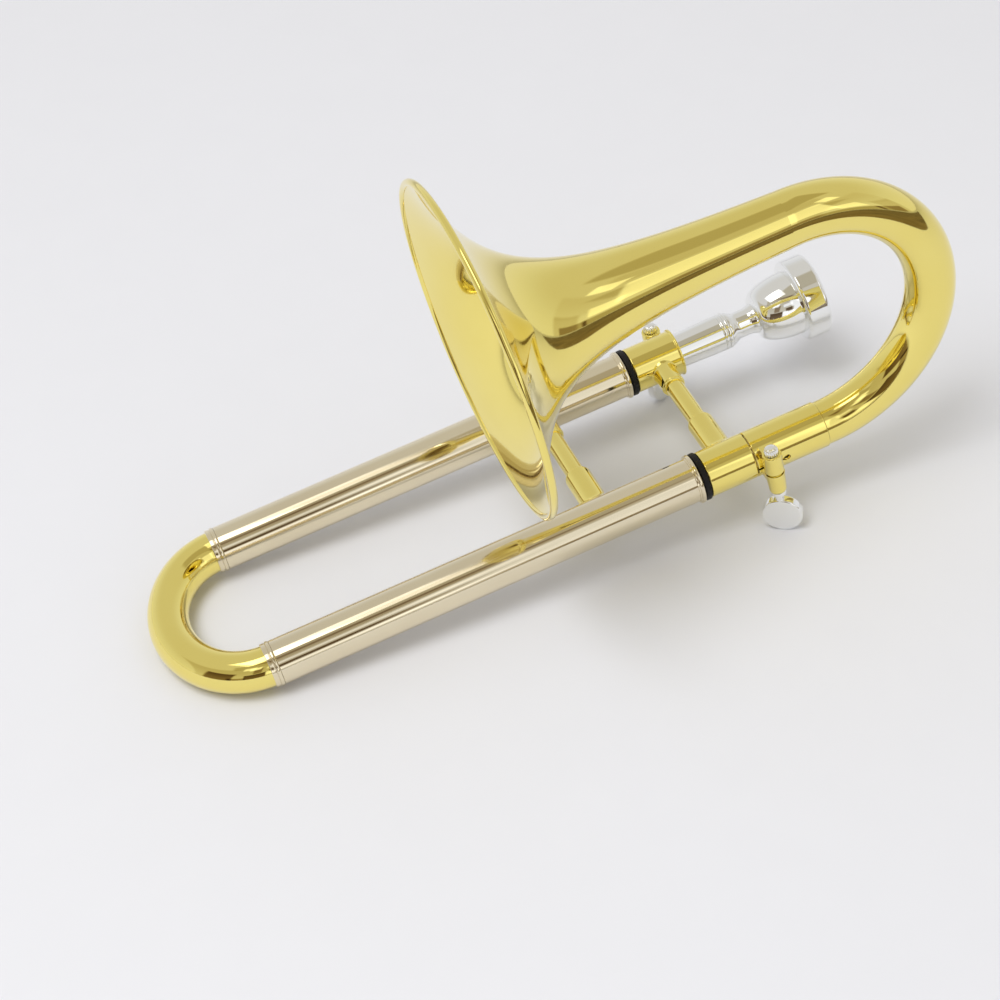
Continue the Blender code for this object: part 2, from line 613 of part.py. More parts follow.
def make_mouthpiece(rig):
    """Shank, double bead, neck, cup and rim, with the bore through them. Its origin is on the leg's axis."""
    shank_end = FAR_RECEIVER_END + SHANK_VISIBLE
    neck = shank_end + 2 * SHANK_BEAD_LENGTH
    cup = neck + NECK_LENGTH
    band = cup + CUP_BODY_LENGTH
    rim = band + RIM_BAND_LENGTH
    outer = [(SHANK_START, SHANK_END_R), (shank_end, shank_radius(shank_end))]
    for i in range(2):
        low = shank_end + i * SHANK_BEAD_LENGTH
        high = low + SHANK_BEAD_LENGTH
        outer += [(low + SHANK_BEAD_ROUND, SHANK_BEAD_R), (high - SHANK_BEAD_ROUND, SHANK_BEAD_R)]
        outer.append((high, NECK_START_R))
    outer += [(neck + NECK_TAPER, NECK_R), (cup - NECK_FLARE, NECK_R), (cup - CUP_FOOT, NECK_END_R)]
    outer += swell((cup, CUP_FOOT_R), (band - CUP_FOOT, CUP_BODY_R), CUP_STEPS)
    outer += swell((band, RIM_BAND_R - RIM_BACK_ROUND), (band + RIM_BACK_ROUND, RIM_BAND_R), ROUND_STEPS)
    outer += swell((rim, RIM_BAND_R - RIM_FRONT_ROUND), (rim - RIM_FRONT_ROUND, RIM_BAND_R), ROUND_STEPS)
    throat = rim - CUP_DEPTH - THROAT_FUNNEL
    bore = [(SHANK_START, BACKBORE_END_R), (throat - THROAT_LENGTH, THROAT_R), (throat, THROAT_R)]
    bore += swell((rim - CUP_DEPTH, CUP_FLOOR_R), (rim - CUP_EDGE, CUP_R), CUP_STEPS)
    bore.append((rim, CUP_R + CUP_EDGE))
    piece = turned("mouthpiece", ring_outline(outer, bore), LEG_STEPS,
                   along_x(0, LEG_SPACING), rig["root"], rig["parts"])
    piece.data.materials.append(finish(SILVER))


def lowest_points(rig, lean):
    """The lowest corner of each foot under a trial lean, in the instrument's axes."""
    graph = bpy.context.evaluated_depsgraph_get()
    feet = []
    for name in ("slide_bow", "bell_clamp_screw", "mouthpiece_clamp_screw"):
        piece = rig["parts"].objects[name].evaluated_get(graph)
        mesh = piece.to_mesh()
        corners = np.empty(len(mesh.vertices) * 3)
        mesh.vertices.foreach_get("co", corners)
        matrix = np.array(piece.matrix_world)
        corners = corners.reshape(-1, 3) @ matrix[:3, :3].T + matrix[:3, 3]
        turned_corners = corners @ np.array(lean.to_3x3()).T
        feet.append(Vector(corners[int(np.argmin(turned_corners[:, 2]))]))
        piece.to_mesh_clear()
    return feet


def stand_up(rig):
    """Lean the instrument so that its three feet share the ground, and centre it over its origin."""
    bpy.context.view_layer.update()
    lean = Matrix.Identity(4)
    for _ in range(6):
        bow, near, far = lowest_points(rig, lean)
        up = (near - bow).cross(far - bow).normalized()
        if up.z < 0:
            up = -up
        lean = up.rotation_difference(Vector((0, 0, 1))).to_matrix().to_4x4()
    rig["root"].matrix_world = lean
    bpy.context.view_layer.update()
    graph = bpy.context.evaluated_depsgraph_get()
    low = Vector((math.inf,) * 3)
    high = Vector((-math.inf,) * 3)
    for piece in rig["parts"].objects:
        evaluated = piece.evaluated_get(graph)
        mesh = evaluated.to_mesh()
        for vertex in mesh.vertices:
            corner = evaluated.matrix_world @ vertex.co
            low = Vector(map(min, low, corner))
            high = Vector(map(max, high, corner))
        evaluated.to_mesh_clear()
    middle = (low + high) / 2
    rig["root"].matrix_world = Matrix.Translation((-middle.x, -middle.y, -low.z)) @ lean
    bpy.context.view_layer.update()


def build():
    """Model the whole instrument."""
    clear_scene()
    parts = new_collection("piccolo_trombone")
    cutters = new_collection("cutters")
    root = bpy.data.objects.new("instrument_axes", None)
    bpy.context.scene.collection.objects.link(root)
    rig = {"root": root, "parts": parts, "cutters": cutters}
    make_outer_slide(rig)
    make_inner_slide(rig)
    make_bell_receiver(rig)
    make_mouthpiece_receiver(rig)
    make_thumbscrew("bell_clamp_screw", NEAR_LUG_X, -LUG_Y, NEAR_LUG_TOP, -PADDLE_TURN, rig)
    make_thumbscrew("mouthpiece_clamp_screw", FAR_LUG_X, LEG_SPACING + LUG_Y, FAR_LUG_TOP, PADDLE_TURN, rig)
    make_brace("outer", OUTER_BRACE_X, OUTER_TUBE_R, rig)
    make_brace("inner", INNER_BRACE_X, BARREL_R, rig)
    make_bell(rig)
    make_mouthpiece(rig)
    stand_up(rig)


build()
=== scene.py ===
"""Looks of the piccolo trombone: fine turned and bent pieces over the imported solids, metals, studio.

Every piece is worked out in the instrument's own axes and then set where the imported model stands.
X runs along the slide legs from the slide bow to the mouthpiece, with 0 at the open ends of the
outer slide tubes. Y runs from the bell's leg (0) to the mouthpiece's leg. Z runs up to the bell.
"""

import json
import math

import bmesh
import bpy
import numpy as np
from mathutils import Matrix, Vector


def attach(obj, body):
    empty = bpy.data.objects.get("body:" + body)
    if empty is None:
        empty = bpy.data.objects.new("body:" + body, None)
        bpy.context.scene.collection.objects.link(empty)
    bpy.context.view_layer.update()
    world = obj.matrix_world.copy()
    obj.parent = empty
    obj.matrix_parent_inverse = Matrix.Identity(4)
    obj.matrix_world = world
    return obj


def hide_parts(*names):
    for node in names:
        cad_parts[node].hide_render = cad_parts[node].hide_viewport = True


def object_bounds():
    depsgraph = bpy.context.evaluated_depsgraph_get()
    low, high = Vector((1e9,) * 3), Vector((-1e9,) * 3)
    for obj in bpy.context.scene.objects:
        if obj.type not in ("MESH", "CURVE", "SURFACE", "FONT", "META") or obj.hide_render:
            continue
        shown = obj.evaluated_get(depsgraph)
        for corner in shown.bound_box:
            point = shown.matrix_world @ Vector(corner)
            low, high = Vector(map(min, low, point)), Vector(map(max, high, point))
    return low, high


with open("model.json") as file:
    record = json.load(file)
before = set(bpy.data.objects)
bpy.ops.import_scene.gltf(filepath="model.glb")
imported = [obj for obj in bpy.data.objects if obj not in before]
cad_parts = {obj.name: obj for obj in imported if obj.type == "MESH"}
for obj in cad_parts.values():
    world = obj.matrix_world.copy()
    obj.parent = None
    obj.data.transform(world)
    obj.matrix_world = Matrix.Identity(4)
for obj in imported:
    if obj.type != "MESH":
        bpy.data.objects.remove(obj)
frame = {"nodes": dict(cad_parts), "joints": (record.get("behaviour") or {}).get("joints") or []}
CAD_LOW, CAD_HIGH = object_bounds()

MM = 0.001

# Camera, in the instrument's axes
CAMERA_AT = Vector((-169.6, -595.4, 602.5)) * MM
CAMERA_RIGHT = Vector((0.9084, -0.3664, -0.2015))
CAMERA_UP = Vector((0.3963, 0.6005, 0.6945))
CAMERA_BACK = Vector((-0.1335, -0.7108, 0.6906))
CAMERA_LENS = 105.29
CAMERA_SENSOR = 36.0
CAMERA_NEAREST = 0.01
CAMERA_FARTHEST = 50.0

# Slide legs
LEG_SPACING = 53.7 * MM
LEGS = (("near", 0.0), ("far", LEG_SPACING))
OUTER_TUBE_R = 6.8 * MM
OUTER_TUBE_BORE = 6.4 * MM
OUTER_TUBE_LENGTH = 134.1 * MM
STOCKING_R = 6.1 * MM
STOCKING_LENGTH = 40.0 * MM
STOCKING_SHOULDER = 0.6 * MM
INNER_TUBE_R = 5.9 * MM
INNER_TUBE_BORE = 5.6 * MM
INNER_TUBE_START = -128.1 * MM
INNER_TUBE_END = 11.3 * MM
TUBE_LIP_ROUND = 0.12 * MM

# Slide bow
SLIDE_BOW_R = 6.25 * MM
SLIDE_BOW_WALL = 0.6 * MM
SLIDE_BOW_END = -134.4 * MM
SLIDE_BOW_X = -135.8 * MM
SLIDE_BOW_DEPTH = 22.3 * MM
BOW_FERRULE_LENGTH = 2.4 * MM
BOW_FERRULE_R = 7.0 * MM
BOW_FERRULE_BEAD = 1.1 * MM
BOW_FERRULE_GROOVE = 0.18 * MM
BOW_FERRULE_GROOVE_DEPTH = 0.2 * MM
BOW_FERRULE_BEAD_ROUND = 0.4 * MM
BOW_INTO_TUBE = 1.5 * MM

# Rings, bumpers and barrels
END_RING_R = 7.6 * MM
END_RING_START = -1.2 * MM
END_RING_END = 0.5 * MM
END_RING_COLLAR_R = 7.1 * MM
END_RING_COLLAR = 0.45 * MM
END_RING_ROUND = 0.55 * MM
BUMPER_R = 7.4 * MM
BUMPER_START = 0.8 * MM
BUMPER_LENGTH = 1.7 * MM
BUMPER_ROUND = 0.4 * MM
BARREL_START = 2.8 * MM
BARREL_R = 7.1 * MM
BARREL_BORE = 6.2 * MM
BARREL_ROUND = 0.35 * MM
NEAR_BARREL_END = 17.5 * MM
FAR_RECEIVER_END = 18.45 * MM
RECEIVER_LIP_R = 7.5 * MM
RECEIVER_LIP_LENGTH = 0.8 * MM
RECEIVER_LIP_STEP = 0.15 * MM
TENON_START = 11.6 * MM
TENON_END = 33.6 * MM
BELL_RECEIVER_START = 17.9 * MM
BELL_RECEIVER_END = 41.2 * MM
BELL_RECEIVER_STEP = 34.8 * MM

# Braces
BRACE_TUBE_R = 2.9 * MM
BRACE_TUBE_WALL = 0.5 * MM
BRACE_FERRULE_R = 4.1 * MM
BRACE_FERRULE_LENGTH = 14.0 * MM
BRACE_SOCKET_R = 3.7 * MM
BRACE_SOCKET_LENGTH = 7.4 * MM
BRACE_LIP_LENGTH = 0.9 * MM
BRACE_LIP_DROP = 0.25 * MM
BRACE_SINK = 0.15 * MM
BRACE_LIP_ROUND = 0.35 * MM
BRACE_FILLET = 0.9 * MM
BRACE_FLARE = 0.7 * BRACE_FILLET
BRACE_SADDLE = 3 * BRACE_FILLET
OUTER_BRACE_X = -29.3 * MM
INNER_BRACE_X = 11.4 * MM

# Bell section
BELL_AXIS_HEIGHT = 79.6 * MM
BELL_BOW_INSERT_R = 6.4 * MM
BELL_BOW_SMALL_R = 6.75 * MM
BELL_BOW_WALL = 0.5 * MM
BELL_BOW_X = 42.5 * MM
BELL_BOW_TAIL = 2.0 * MM
TAIL_R = 8.35 * MM
BELL_LENGTH = 94.8 * MM
BELL_MOUTH_R = 49.5 * MM
BELL_WALL = 0.55 * MM
FLARE_LENGTH = 25.0 * MM
FLARE_POWER = 2.0
RIM_BEAD_R = 1.15 * MM
RIM_X = BELL_BOW_X - BELL_LENGTH

# Clamps
LUG_R = 2.95 * MM
LUG_FOOT_R = 2.6 * MM
NEAR_LUG_TOP = 6.7 * MM
FAR_LUG_TOP = 3.3 * MM
LUG_BOTTOM = -7.8 * MM
LUG_Y = 9.8 * MM
NEAR_LUG_X = 21.6 * MM
FAR_LUG_X = 14.6 * MM
LUG_ROUND = 0.9 * MM
LUG_FOOT_ROUND = 0.35 * MM
WEB_HALF_WIDTH = 2.2 * MM
WEB_ROOT_Y = 5.0 * MM
WEB_BOTTOM = -5.2 * MM
WEB_BELOW_TOP = 0.4 * MM
WEB_INTO_SLEEVE = 0.35 * MM
CORE_START = -50.0 * MM
CORE_END = 80.0 * MM
SLIT_HEIGHT = -0.3 * MM
SLIT_WIDTH = 0.8 * MM
SLIT_LENGTH = 9.2 * MM
RELIEF_HOLE_R = 1.1 * MM
SCREW_R = 2.1 * MM
SCREW_HOLE_R = 2.15 * MM
SCREW_TIP = 2.5 * MM
SCREW_DOME = 0.9 * MM
SCREW_FLUTES = 18
FLUTE_DEPTH = 0.3 * MM
FLUTES_BELOW_LUG = 0.45 * MM
FLUTES_RUN_OUT = 0.05 * MM
SHANK_RING = 2.0 * MM
COLLAR_R = 2.4 * MM
COLLAR_TOP = -8.1 * MM
COLLAR_BOTTOM = -9.6 * MM
PADDLE_R = 6.1 * MM
PADDLE_THICKNESS = 3.0 * MM
PADDLE_CENTRE = -18.05 * MM
PADDLE_EDGE = 0.6 * MM
PADDLE_NECK_R = 1.4 * MM
PADDLE_NECK_INSIDE = 1.2 * MM
PADDLE_TURN = math.radians(33)

# Mouthpiece
SHANK_START = -3.0 * MM
SHANK_END_R = 4.85 * MM
SHANK_TAPER = 0.025
SHANK_END = 33.3 * MM
SHANK_BEAD_R = 5.75 * MM
SHANK_BEAD_LENGTH = 1.3 * MM
SHANK_BEAD_HALF = 0.44
SHANK_BEAD_FULLNESS = 0.6
SHANK_STOP = 0.2 * MM
BEAD_GROOVE_R = 5.3 * MM
NECK_START_R = 5.4 * MM
NECK_R = 4.2 * MM
NECK_LENGTH = 9.4 * MM
NECK_TAPER = 3.3 * MM
NECK_FLARE = 2.8 * MM
NECK_END_R = 4.8 * MM
CUP_FOOT = 0.2 * MM
CUP_FOOT_R = 5.8 * MM
CUP_BODY_R = 10.3 * MM
CUP_BODY_LENGTH = 13.0 * MM
RIM_BAND_R = 13.1 * MM
RIM_BAND_LENGTH = 8.0 * MM
RIM_BACK_ROUND = 1.2 * MM
RIM_FRONT_ROUND = 1.6 * MM
CUP_R = 8.3 * MM
CUP_DEPTH = 11.5 * MM
CUP_FLOOR_R = 3.7 * MM
CUP_EDGE = 0.8 * MM
CUP_EDGE_BACK = 0.25 * CUP_EDGE
CUP_EDGE_SPREAD = 0.2 * CUP_EDGE
THROAT_FUNNEL = 3.0 * MM
THROAT_R = 1.85 * MM
THROAT_LENGTH = 6.0 * MM
BACKBORE_END_R = 4.2 * MM

# Rounded edges, fits and overlaps
HAIR_ROUND = 0.05 * MM
FINE_ROUND = 0.1 * MM
LIP_ROUND = 0.15 * MM
SMALL_ROUND = 0.2 * MM
EDGE_ROUND = 0.3 * MM
HAIR_GAP = 0.03 * MM
SNUG_FIT = 0.02 * MM
SHANK_CLEARANCE = 0.1 * MM
GRIP_CLEARANCE = 0.3 * MM
OVERLAP = 0.1 * MM
NEAR_END = 0.05 * MM
ARC_LEAD = 0.1 * MM
BELL_ARC_LEAD = 0.3 * MM

# How finely the pieces are divided
LEG_SIDES = 128
SMALL_SIDES = 96
BELL_SIDES = 256
BOW_STEPS = 180
FLARE_STEPS = 150
FLARE_CROWDING = 1.6
BEAD_STEPS = 24
SWELL_STEPS = 20
ROUND_STEPS = 5
ROUND_SHARE_OF_EDGE = 0.49
CREASE = math.radians(32)
CUTTER_OVER = 3.0 * MM

GOLD = "gold_lacquered_brass"
NICKEL = "nickel_silver"
SILVER = "silver_plate"
RUBBER = "black_rubber"

# Noise: the values that stand for its two ends, and its detail
NOISE_LOW, NOISE_HIGH = 0.3, 0.7
PLAIN_DETAIL = 3.0
WAVE_DETAIL = 1.0
MOTTLE_DETAIL = 4.0
GRAIN_DETAIL = 5.0

# Metals: light and deep tone, smoothest and roughest, polishing marks per metre along each axis, depth of
# the marks and of the waviness
GOLD_FINISH = ((0.94, 0.80, 0.24), (0.925, 0.775, 0.215), 0.035, 0.085, (900, 900, 900), 0.2e-6, 6e-6)
NICKEL_FINISH = ((0.83, 0.745, 0.55), (0.79, 0.70, 0.51), 0.05, 0.11, (40, 2600, 2600), 0.25e-6, 3e-6)
SILVER_FINISH = ((0.94, 0.945, 0.94), (0.91, 0.915, 0.90), 0.03, 0.07, (1500, 120, 120), 0.2e-6, 2e-6)
TONE_PATCHES = (38, 45, 45)
WAVES = (55, 90, 90)
COAT_WEIGHT = 0.35
COAT_ROUGHNESS = 0.03
COAT_IOR = 1.5
RUBBER_DEEP = (0.006, 0.0055, 0.005)
RUBBER_LIGHT = (0.014, 0.013, 0.012)
RUBBER_GRAIN = (1800, 1800, 1800)
RUBBER_GRAIN_DEPTH = 25e-6
RUBBER_SPECULAR = 0.22
RUBBER_SMOOTH, RUBBER_ROUGH = 0.42, 0.6

# Floor, and the brown card on it
FLOOR_R = 12.0
FLOOR_SIDES = 96
FLOOR_LIGHT = (0.785, 0.80, 0.865)
FLOOR_DEEP = (0.77, 0.785, 0.85)
FLOOR_MOTTLE = (60, 60, 60)
FLOOR_ROUGHNESS = 0.75
FLOOR_SPECULAR = 0.2
CARD_RISE = 0.3 * MM
CARD_EDGE = ((-0.5, -1.3), (-0.2, -0.93), (0.07, -0.59), (0.14, -0.3), (0.17, -0.18), (0.4, -0.13))
CARD_REST = ((3.0, -0.1), (3.0, -4.0), (-2.0, -4.0))
CARD_LIGHT = (0.30, 0.22, 0.12)
CARD_DEEP = (0.03, 0.02, 0.01)
CARD_PATCHES = (7, 7, 7)
CARD_ROUGHNESS = 0.9

# Lamps: place, target, width, depth and level, in the instrument's axes
KEY_LAMP = ((-0.5, -0.3, 1.5), (0, 0, 0), 0.8, 0.8, 5.6)
STRIP_LAMP = ((-0.3, -0.05, 2.0), (-0.3, -0.05, 0.0), 0.92, 0.6, 1.25)
HALO_LAMP = ((-0.3, -0.04, 2.1), (-0.3, -0.04, 0.0), 1.05, 0.95, 0.75)

# Room: its level at the horizon and how it falls with height, its darkest level, the level that the camera
# sees, and its colour by level
HORIZON_LEVEL = 0.79
SKY_FALL = -0.13
SKY_TOP = 0.7
DARKEST_LEVEL = 0.05
BACKDROP_LEVEL = 0.54
ROOM_TINTS = (
    (0.05, (1.0, 0.60, 0.32)),
    (0.42, (1.0, 0.89, 0.63)),
    (0.62, (1.0, 0.95, 0.84)),
    (0.72, (1.0, 1.0, 1.0)),
    (0.98, (1.0, 1.0, 1.0)),
)

# Soft boxes of the room. Each has its heading from the camera's, rise, half width, half height and soft
# edge in degrees, and how much it changes the level. A box shows only in the half of the room it lies in
BOX_AHEAD = 0.1
ROOM_BOXES = (
    (60, 78, 22, 11, 4, -0.2),
    (-12, 60, 19, 6, 3, -0.2),
    (45, 57, 14, 6, 4, -0.08),
    (-15, 22, 54, 28, 4, -0.14),
    (74, 29, 16, 10, 5, -0.05),
    (82, 8, 9, 8, 4, -0.16),
    (-19, 49, 5, 4, 2, 0.55),
    (-9, 45, 5, 4, 2, 0.6),
    (69, 48, 5, 4, 2, 0.55),
    (-48, 16, 13, 14, 3, -0.45),
    (-28, 4, 9, 5, 2, -0.33),
    (-6, 8, 12, 12, 2, -0.5),
    (-4, 33, 4, 9, 2, -0.3),
    (11, 12, 3, 7, 1, 0.45),
    (15, 38, 4.5, 3.5, 2, 0.35),
    (17, 23, 4, 4.5, 1.5, -0.46),
    (18, 10, 4, 4, 2, 0.5),
    (26.5, 28, 4.5, 18.5, 2, 0.36),
    (41, 30, 9, 14, 2, 0.46),
    (57, 16, 6, 5, 2, 0.42),
    (46, 1, 20, 5, 3, -0.36),
    (76, 2, 10, 4, 2, -0.35),
)


def find_stance():
    """Matrix from the instrument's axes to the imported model's, read from its joints."""
    joints = {joint["name"]: joint for joint in frame["joints"]}
    along = Vector(joints["bell_tuning"]["axis"]).normalized()
    up = Vector(joints["bell_clamp_turn"]["axis"]).normalized()
    across = up.cross(along).normalized()
    screw = Vector(joints["bell_clamp_turn"]["pos_m"])
    origin = screw - along * NEAR_LUG_X + across * LUG_Y
    rotation = Matrix((along, across, up)).transposed().to_4x4()
    return Matrix.Translation(origin) @ rotation


STANCE = find_stance()


def along_x(x, y, z=0.0):
    """Matrix that lays a piece turned about its own Z along the instrument's X."""
    return Matrix.Translation((x, y, z)) @ Matrix.Rotation(math.pi / 2, 4, "Y")


def along_y(x, y, z=0.0):
    """Matrix that lays a piece turned about its own Z along the instrument's Y."""
    return Matrix.Translation((x, y, z)) @ Matrix.Rotation(-math.pi / 2, 4, "X")


def moved(points, matrix):
    """An array of points carried by a matrix."""
    matrix = np.array(matrix)
    return points @ matrix[:3, :3].T + matrix[:3, 3]


def grid_faces(rows, columns, close_rows):
    """Four-sided faces over a grid of points whose columns wrap round."""
    faces = []
    for i in range(rows if close_rows else rows - 1):
        here = i * columns
        there = (i + 1) % rows * columns
        for j in range(columns):
            step = (j + 1) % columns
            faces.append((here + j, here + step, there + step, there + j))
    return faces


def soften(corners, closed=True):
    """Outline of (height, radius) points through corners (height, radius, round), each one rounded."""
    points = []
    count = len(corners)
    for i, (height, radius, reach) in enumerate(corners):
        here = Vector((height, radius))
        if reach <= 0 or (not closed and i in (0, count - 1)):
            points.append(here)
            continue
        before = Vector(corners[i - 1][:2]) - here
        after = Vector(corners[(i + 1) % count][:2]) - here
        start = here + before.normalized() * min(reach, before.length * ROUND_SHARE_OF_EDGE)
        end = here + after.normalized() * min(reach, after.length * ROUND_SHARE_OF_EDGE)
        for step in range(ROUND_STEPS + 1):
            share = step / ROUND_STEPS
            points.append(start.lerp(here, share).lerp(here.lerp(end, share), share))
    return points


def swell(start, end):
    """Points of a quarter ellipse from (x, radius) start to end: steep at the start, level at the end."""
    points = []
    for i in range(SWELL_STEPS + 1):
        angle = math.pi / 2 * i / SWELL_STEPS
        x = end[0] + (start[0] - end[0]) * math.cos(angle)
        points.append((x, start[1] + (end[1] - start[1]) * math.sin(angle)))
    return points


def turned(outline, sides, matrix):
    """Points and faces of a closed outline turned about the matrix's Z."""
    heights = np.array([point[0] for point in outline])
    radii = np.array([point[1] for point in outline])
    angles = np.linspace(0, 2 * math.pi, sides, endpoint=False)
    flat = np.repeat(heights[:, None], sides, axis=1)
    rings = np.stack([np.outer(radii, np.cos(angles)), np.outer(radii, np.sin(angles)), flat], axis=-1)
    return moved(rings.reshape(-1, 3), matrix), grid_faces(len(outline), sides, True)


def turned_solid(outline, sides, matrix):
    """Points and faces of an outline from axis to axis, turned about the matrix's Z."""
    points, faces = turned(outline[1:-1], sides, Matrix.Identity(4))
    rings = len(outline) - 2
    faces = faces[:(rings - 1) * sides]
    first, last = len(points), len(points) + 1
    poles = [(0, 0, outline[0][0]), (0, 0, outline[-1][0])]
    points = np.vstack([points, poles])
    for j in range(sides):
        step = (j + 1) % sides
        faces.append((first, step, j))
        faces.append((last, (rings - 1) * sides + j, (rings - 1) * sides + step))
    return moved(points, matrix), faces


def bent(path, radii, side, wall, sides):
    """Points and faces of a hollow tube bent along a flat path. side is square to the path's plane."""
    path = np.array(path)
    radii = np.array(radii)
    ways = np.gradient(path, axis=0)
    ways /= np.linalg.norm(ways, axis=1)[:, None]
    side = np.array(side, float)
    out = np.cross(ways, side)
    angles = np.linspace(0, 2 * math.pi, sides, endpoint=False)
    ring = np.cos(angles)[None, :, None] * side + np.sin(angles)[None, :, None] * out[:, None, :]
    outer = path[:, None, :] + ring * radii[:, None, None]
    inner = path[:, None, :] + ring * (radii - wall)[:, None, None]
    rows = np.concatenate([outer, inner[::-1]])
    return rows.reshape(-1, 3), grid_faces(len(rows), sides, True)


def half_oval(centre, side, depth_way, half_width, depth, count):
    """Points of a half oval: from centre - side through the tip along depth_way to centre + side."""
    angles = np.linspace(-math.pi / 2, math.pi / 2, count + 1)
    across = np.outer(np.sin(angles), np.array(side, float) * half_width)
    deep = np.outer(np.cos(angles), np.array(depth_way, float) * depth)
    return np.array(centre, float) + across + deep


def block(low, high):
    """Points and faces of a box between two corners."""
    xs, ys, zs = zip(low, high)
    points = [(x, y, z) for x in xs for y in ys for z in zs]
    faces = [(0, 1, 3, 2), (4, 6, 7, 5), (0, 4, 5, 1), (2, 3, 7, 6), (0, 2, 6, 4), (1, 5, 7, 3)]
    return np.array(points, float), faces


def joined_mesh(name, shapes):
    """One mesh from several closed shapes, with every face turned outwards."""
    mesh = bpy.data.meshes.new(name)
    points, faces = [], []
    for shape_points, shape_faces in shapes:
        first = len(points)
        points += [tuple(point) for point in shape_points]
        faces += [tuple(first + corner for corner in face) for face in shape_faces]
    mesh.from_pydata(points, [], faces)
    shape = bmesh.new()
    shape.from_mesh(mesh)
    bmesh.ops.recalc_face_normals(shape, faces=shape.faces)
    shape.to_mesh(mesh)
    shape.free()
    mesh.shade_smooth()
    mesh.set_sharp_from_angle(angle=CREASE)
    return mesh


def carved(name, solid, cutters):
    """One mesh of a solid with the cutters taken away, in the instrument's axes."""
    things = []
    for index, shape in enumerate([solid] + cutters):
        thing = bpy.data.objects.new(f"{name}_{index}", joined_mesh(name, [shape]))
        bpy.context.scene.collection.objects.link(thing)
        things.append(thing)
    for index, thing in enumerate(things[1:], 1):
        modifier = things[0].modifiers.new(f"step_{index}", "BOOLEAN")
        modifier.operation = "DIFFERENCE"
        modifier.solver = "EXACT"
        modifier.object = thing
    graph = bpy.context.evaluated_depsgraph_get()
    mesh = bpy.data.meshes.new_from_object(things[0].evaluated_get(graph))
    for thing in things:
        bpy.data.objects.remove(thing)
    mesh.shade_smooth()
    mesh.set_sharp_from_angle(angle=CREASE)
    return mesh


def add_piece(name, mesh, slot, body, *nodes):
    """Set a finished mesh in place as the piece that stands for some nodes of a body."""
    mesh.transform(STANCE)
    mesh.materials.clear()
    mesh.materials.append(MATERIALS[slot])
    piece = bpy.data.objects.new(name, mesh)
    bpy.context.scene.collection.objects.link(piece)
    normals = piece.modifiers.new("even_normals", "WEIGHTED_NORMAL")
    normals.keep_sharp = True
    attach(piece, body)
    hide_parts(*nodes)


def wall_outline(start, end, radius, bore, lip=TUBE_LIP_ROUND):
    """Outline of a plain tube's wall with softened lips."""
    return soften([(start, radius, lip), (end, radius, lip), (end, bore, lip), (start, bore, lip)])


def make_outer_slide():
    """Outer tubes, their end rings, the slide bow and its ferrules."""
    for leg, y in LEGS:
        outline = wall_outline(-OUTER_TUBE_LENGTH, 0, OUTER_TUBE_R, OUTER_TUBE_BORE)
        tube = joined_mesh(f"outer_tube_{leg}", [turned(outline, LEG_SIDES, along_x(0, y))])
        add_piece(f"fine_outer_tube_{leg}", tube, NICKEL, "outer_slide", f"outer_tube_{leg}")
        bore = OUTER_TUBE_R - TUBE_LIP_ROUND
        low, end = END_RING_START, END_RING_END
        collar = low + END_RING_COLLAR
        outline = soften([
            (low, bore, 0), (low, END_RING_COLLAR_R, FINE_ROUND), (collar, END_RING_COLLAR_R, FINE_ROUND),
            (collar, END_RING_R, END_RING_ROUND), (end, END_RING_R, END_RING_ROUND), (end, bore, 0),
        ])
        ring = joined_mesh(f"outer_end_ring_{leg}", [turned(outline, LEG_SIDES, along_x(0, y))])
        add_piece(f"fine_end_ring_{leg}", ring, NICKEL, "outer_slide", f"outer_end_ring_{leg}")
        outline = bow_ferrule_outline()
        ferrule = joined_mesh(f"slide_bow_ferrule_{leg}", [turned(outline, LEG_SIDES, along_x(0, y))])
        add_piece(f"fine_bow_ferrule_{leg}", ferrule, NICKEL, "outer_slide", f"slide_bow_ferrule_{leg}")
    half = LEG_SPACING / 2
    arc = half_oval((SLIDE_BOW_X, half, 0), (0, 1, 0), (-1, 0, 0), half, SLIDE_BOW_DEPTH, BOW_STEPS)
    near_end = np.array([(SLIDE_BOW_END + BOW_INTO_TUBE, 0, 0), (SLIDE_BOW_X + ARC_LEAD, 0, 0)])
    far_end = near_end[::-1] + np.array((0, LEG_SPACING, 0))
    path = np.vstack([near_end, arc, far_end])
    radii = [SLIDE_BOW_R] * len(path)
    bow = joined_mesh("slide_bow", [bent(path, radii, (0, 0, 1), SLIDE_BOW_WALL, LEG_SIDES)])
    add_piece("fine_slide_bow", bow, GOLD, "outer_slide", "slide_bow")


def bow_ferrule_outline():
    """Outline of the ring at the end of an outer tube: a low band, a groove and a fine bead."""
    start = SLIDE_BOW_END - BOW_FERRULE_LENGTH
    groove = -OUTER_TUBE_LENGTH - BOW_FERRULE_BEAD
    end = -OUTER_TUBE_LENGTH - HAIR_GAP
    band = groove - BOW_FERRULE_GROOVE
    inside = SLIDE_BOW_R - OVERLAP
    waist = OUTER_TUBE_R - BOW_FERRULE_GROOVE_DEPTH
    return soften([
        (start, inside, 0), (start, OUTER_TUBE_R, SMALL_ROUND), (band, OUTER_TUBE_R, FINE_ROUND),
        (band, waist, HAIR_ROUND), (groove, waist, HAIR_ROUND),
        (groove, BOW_FERRULE_R, BOW_FERRULE_BEAD_ROUND), (end, BOW_FERRULE_R, BOW_FERRULE_BEAD_ROUND),
        (end, inside, 0),
    ])


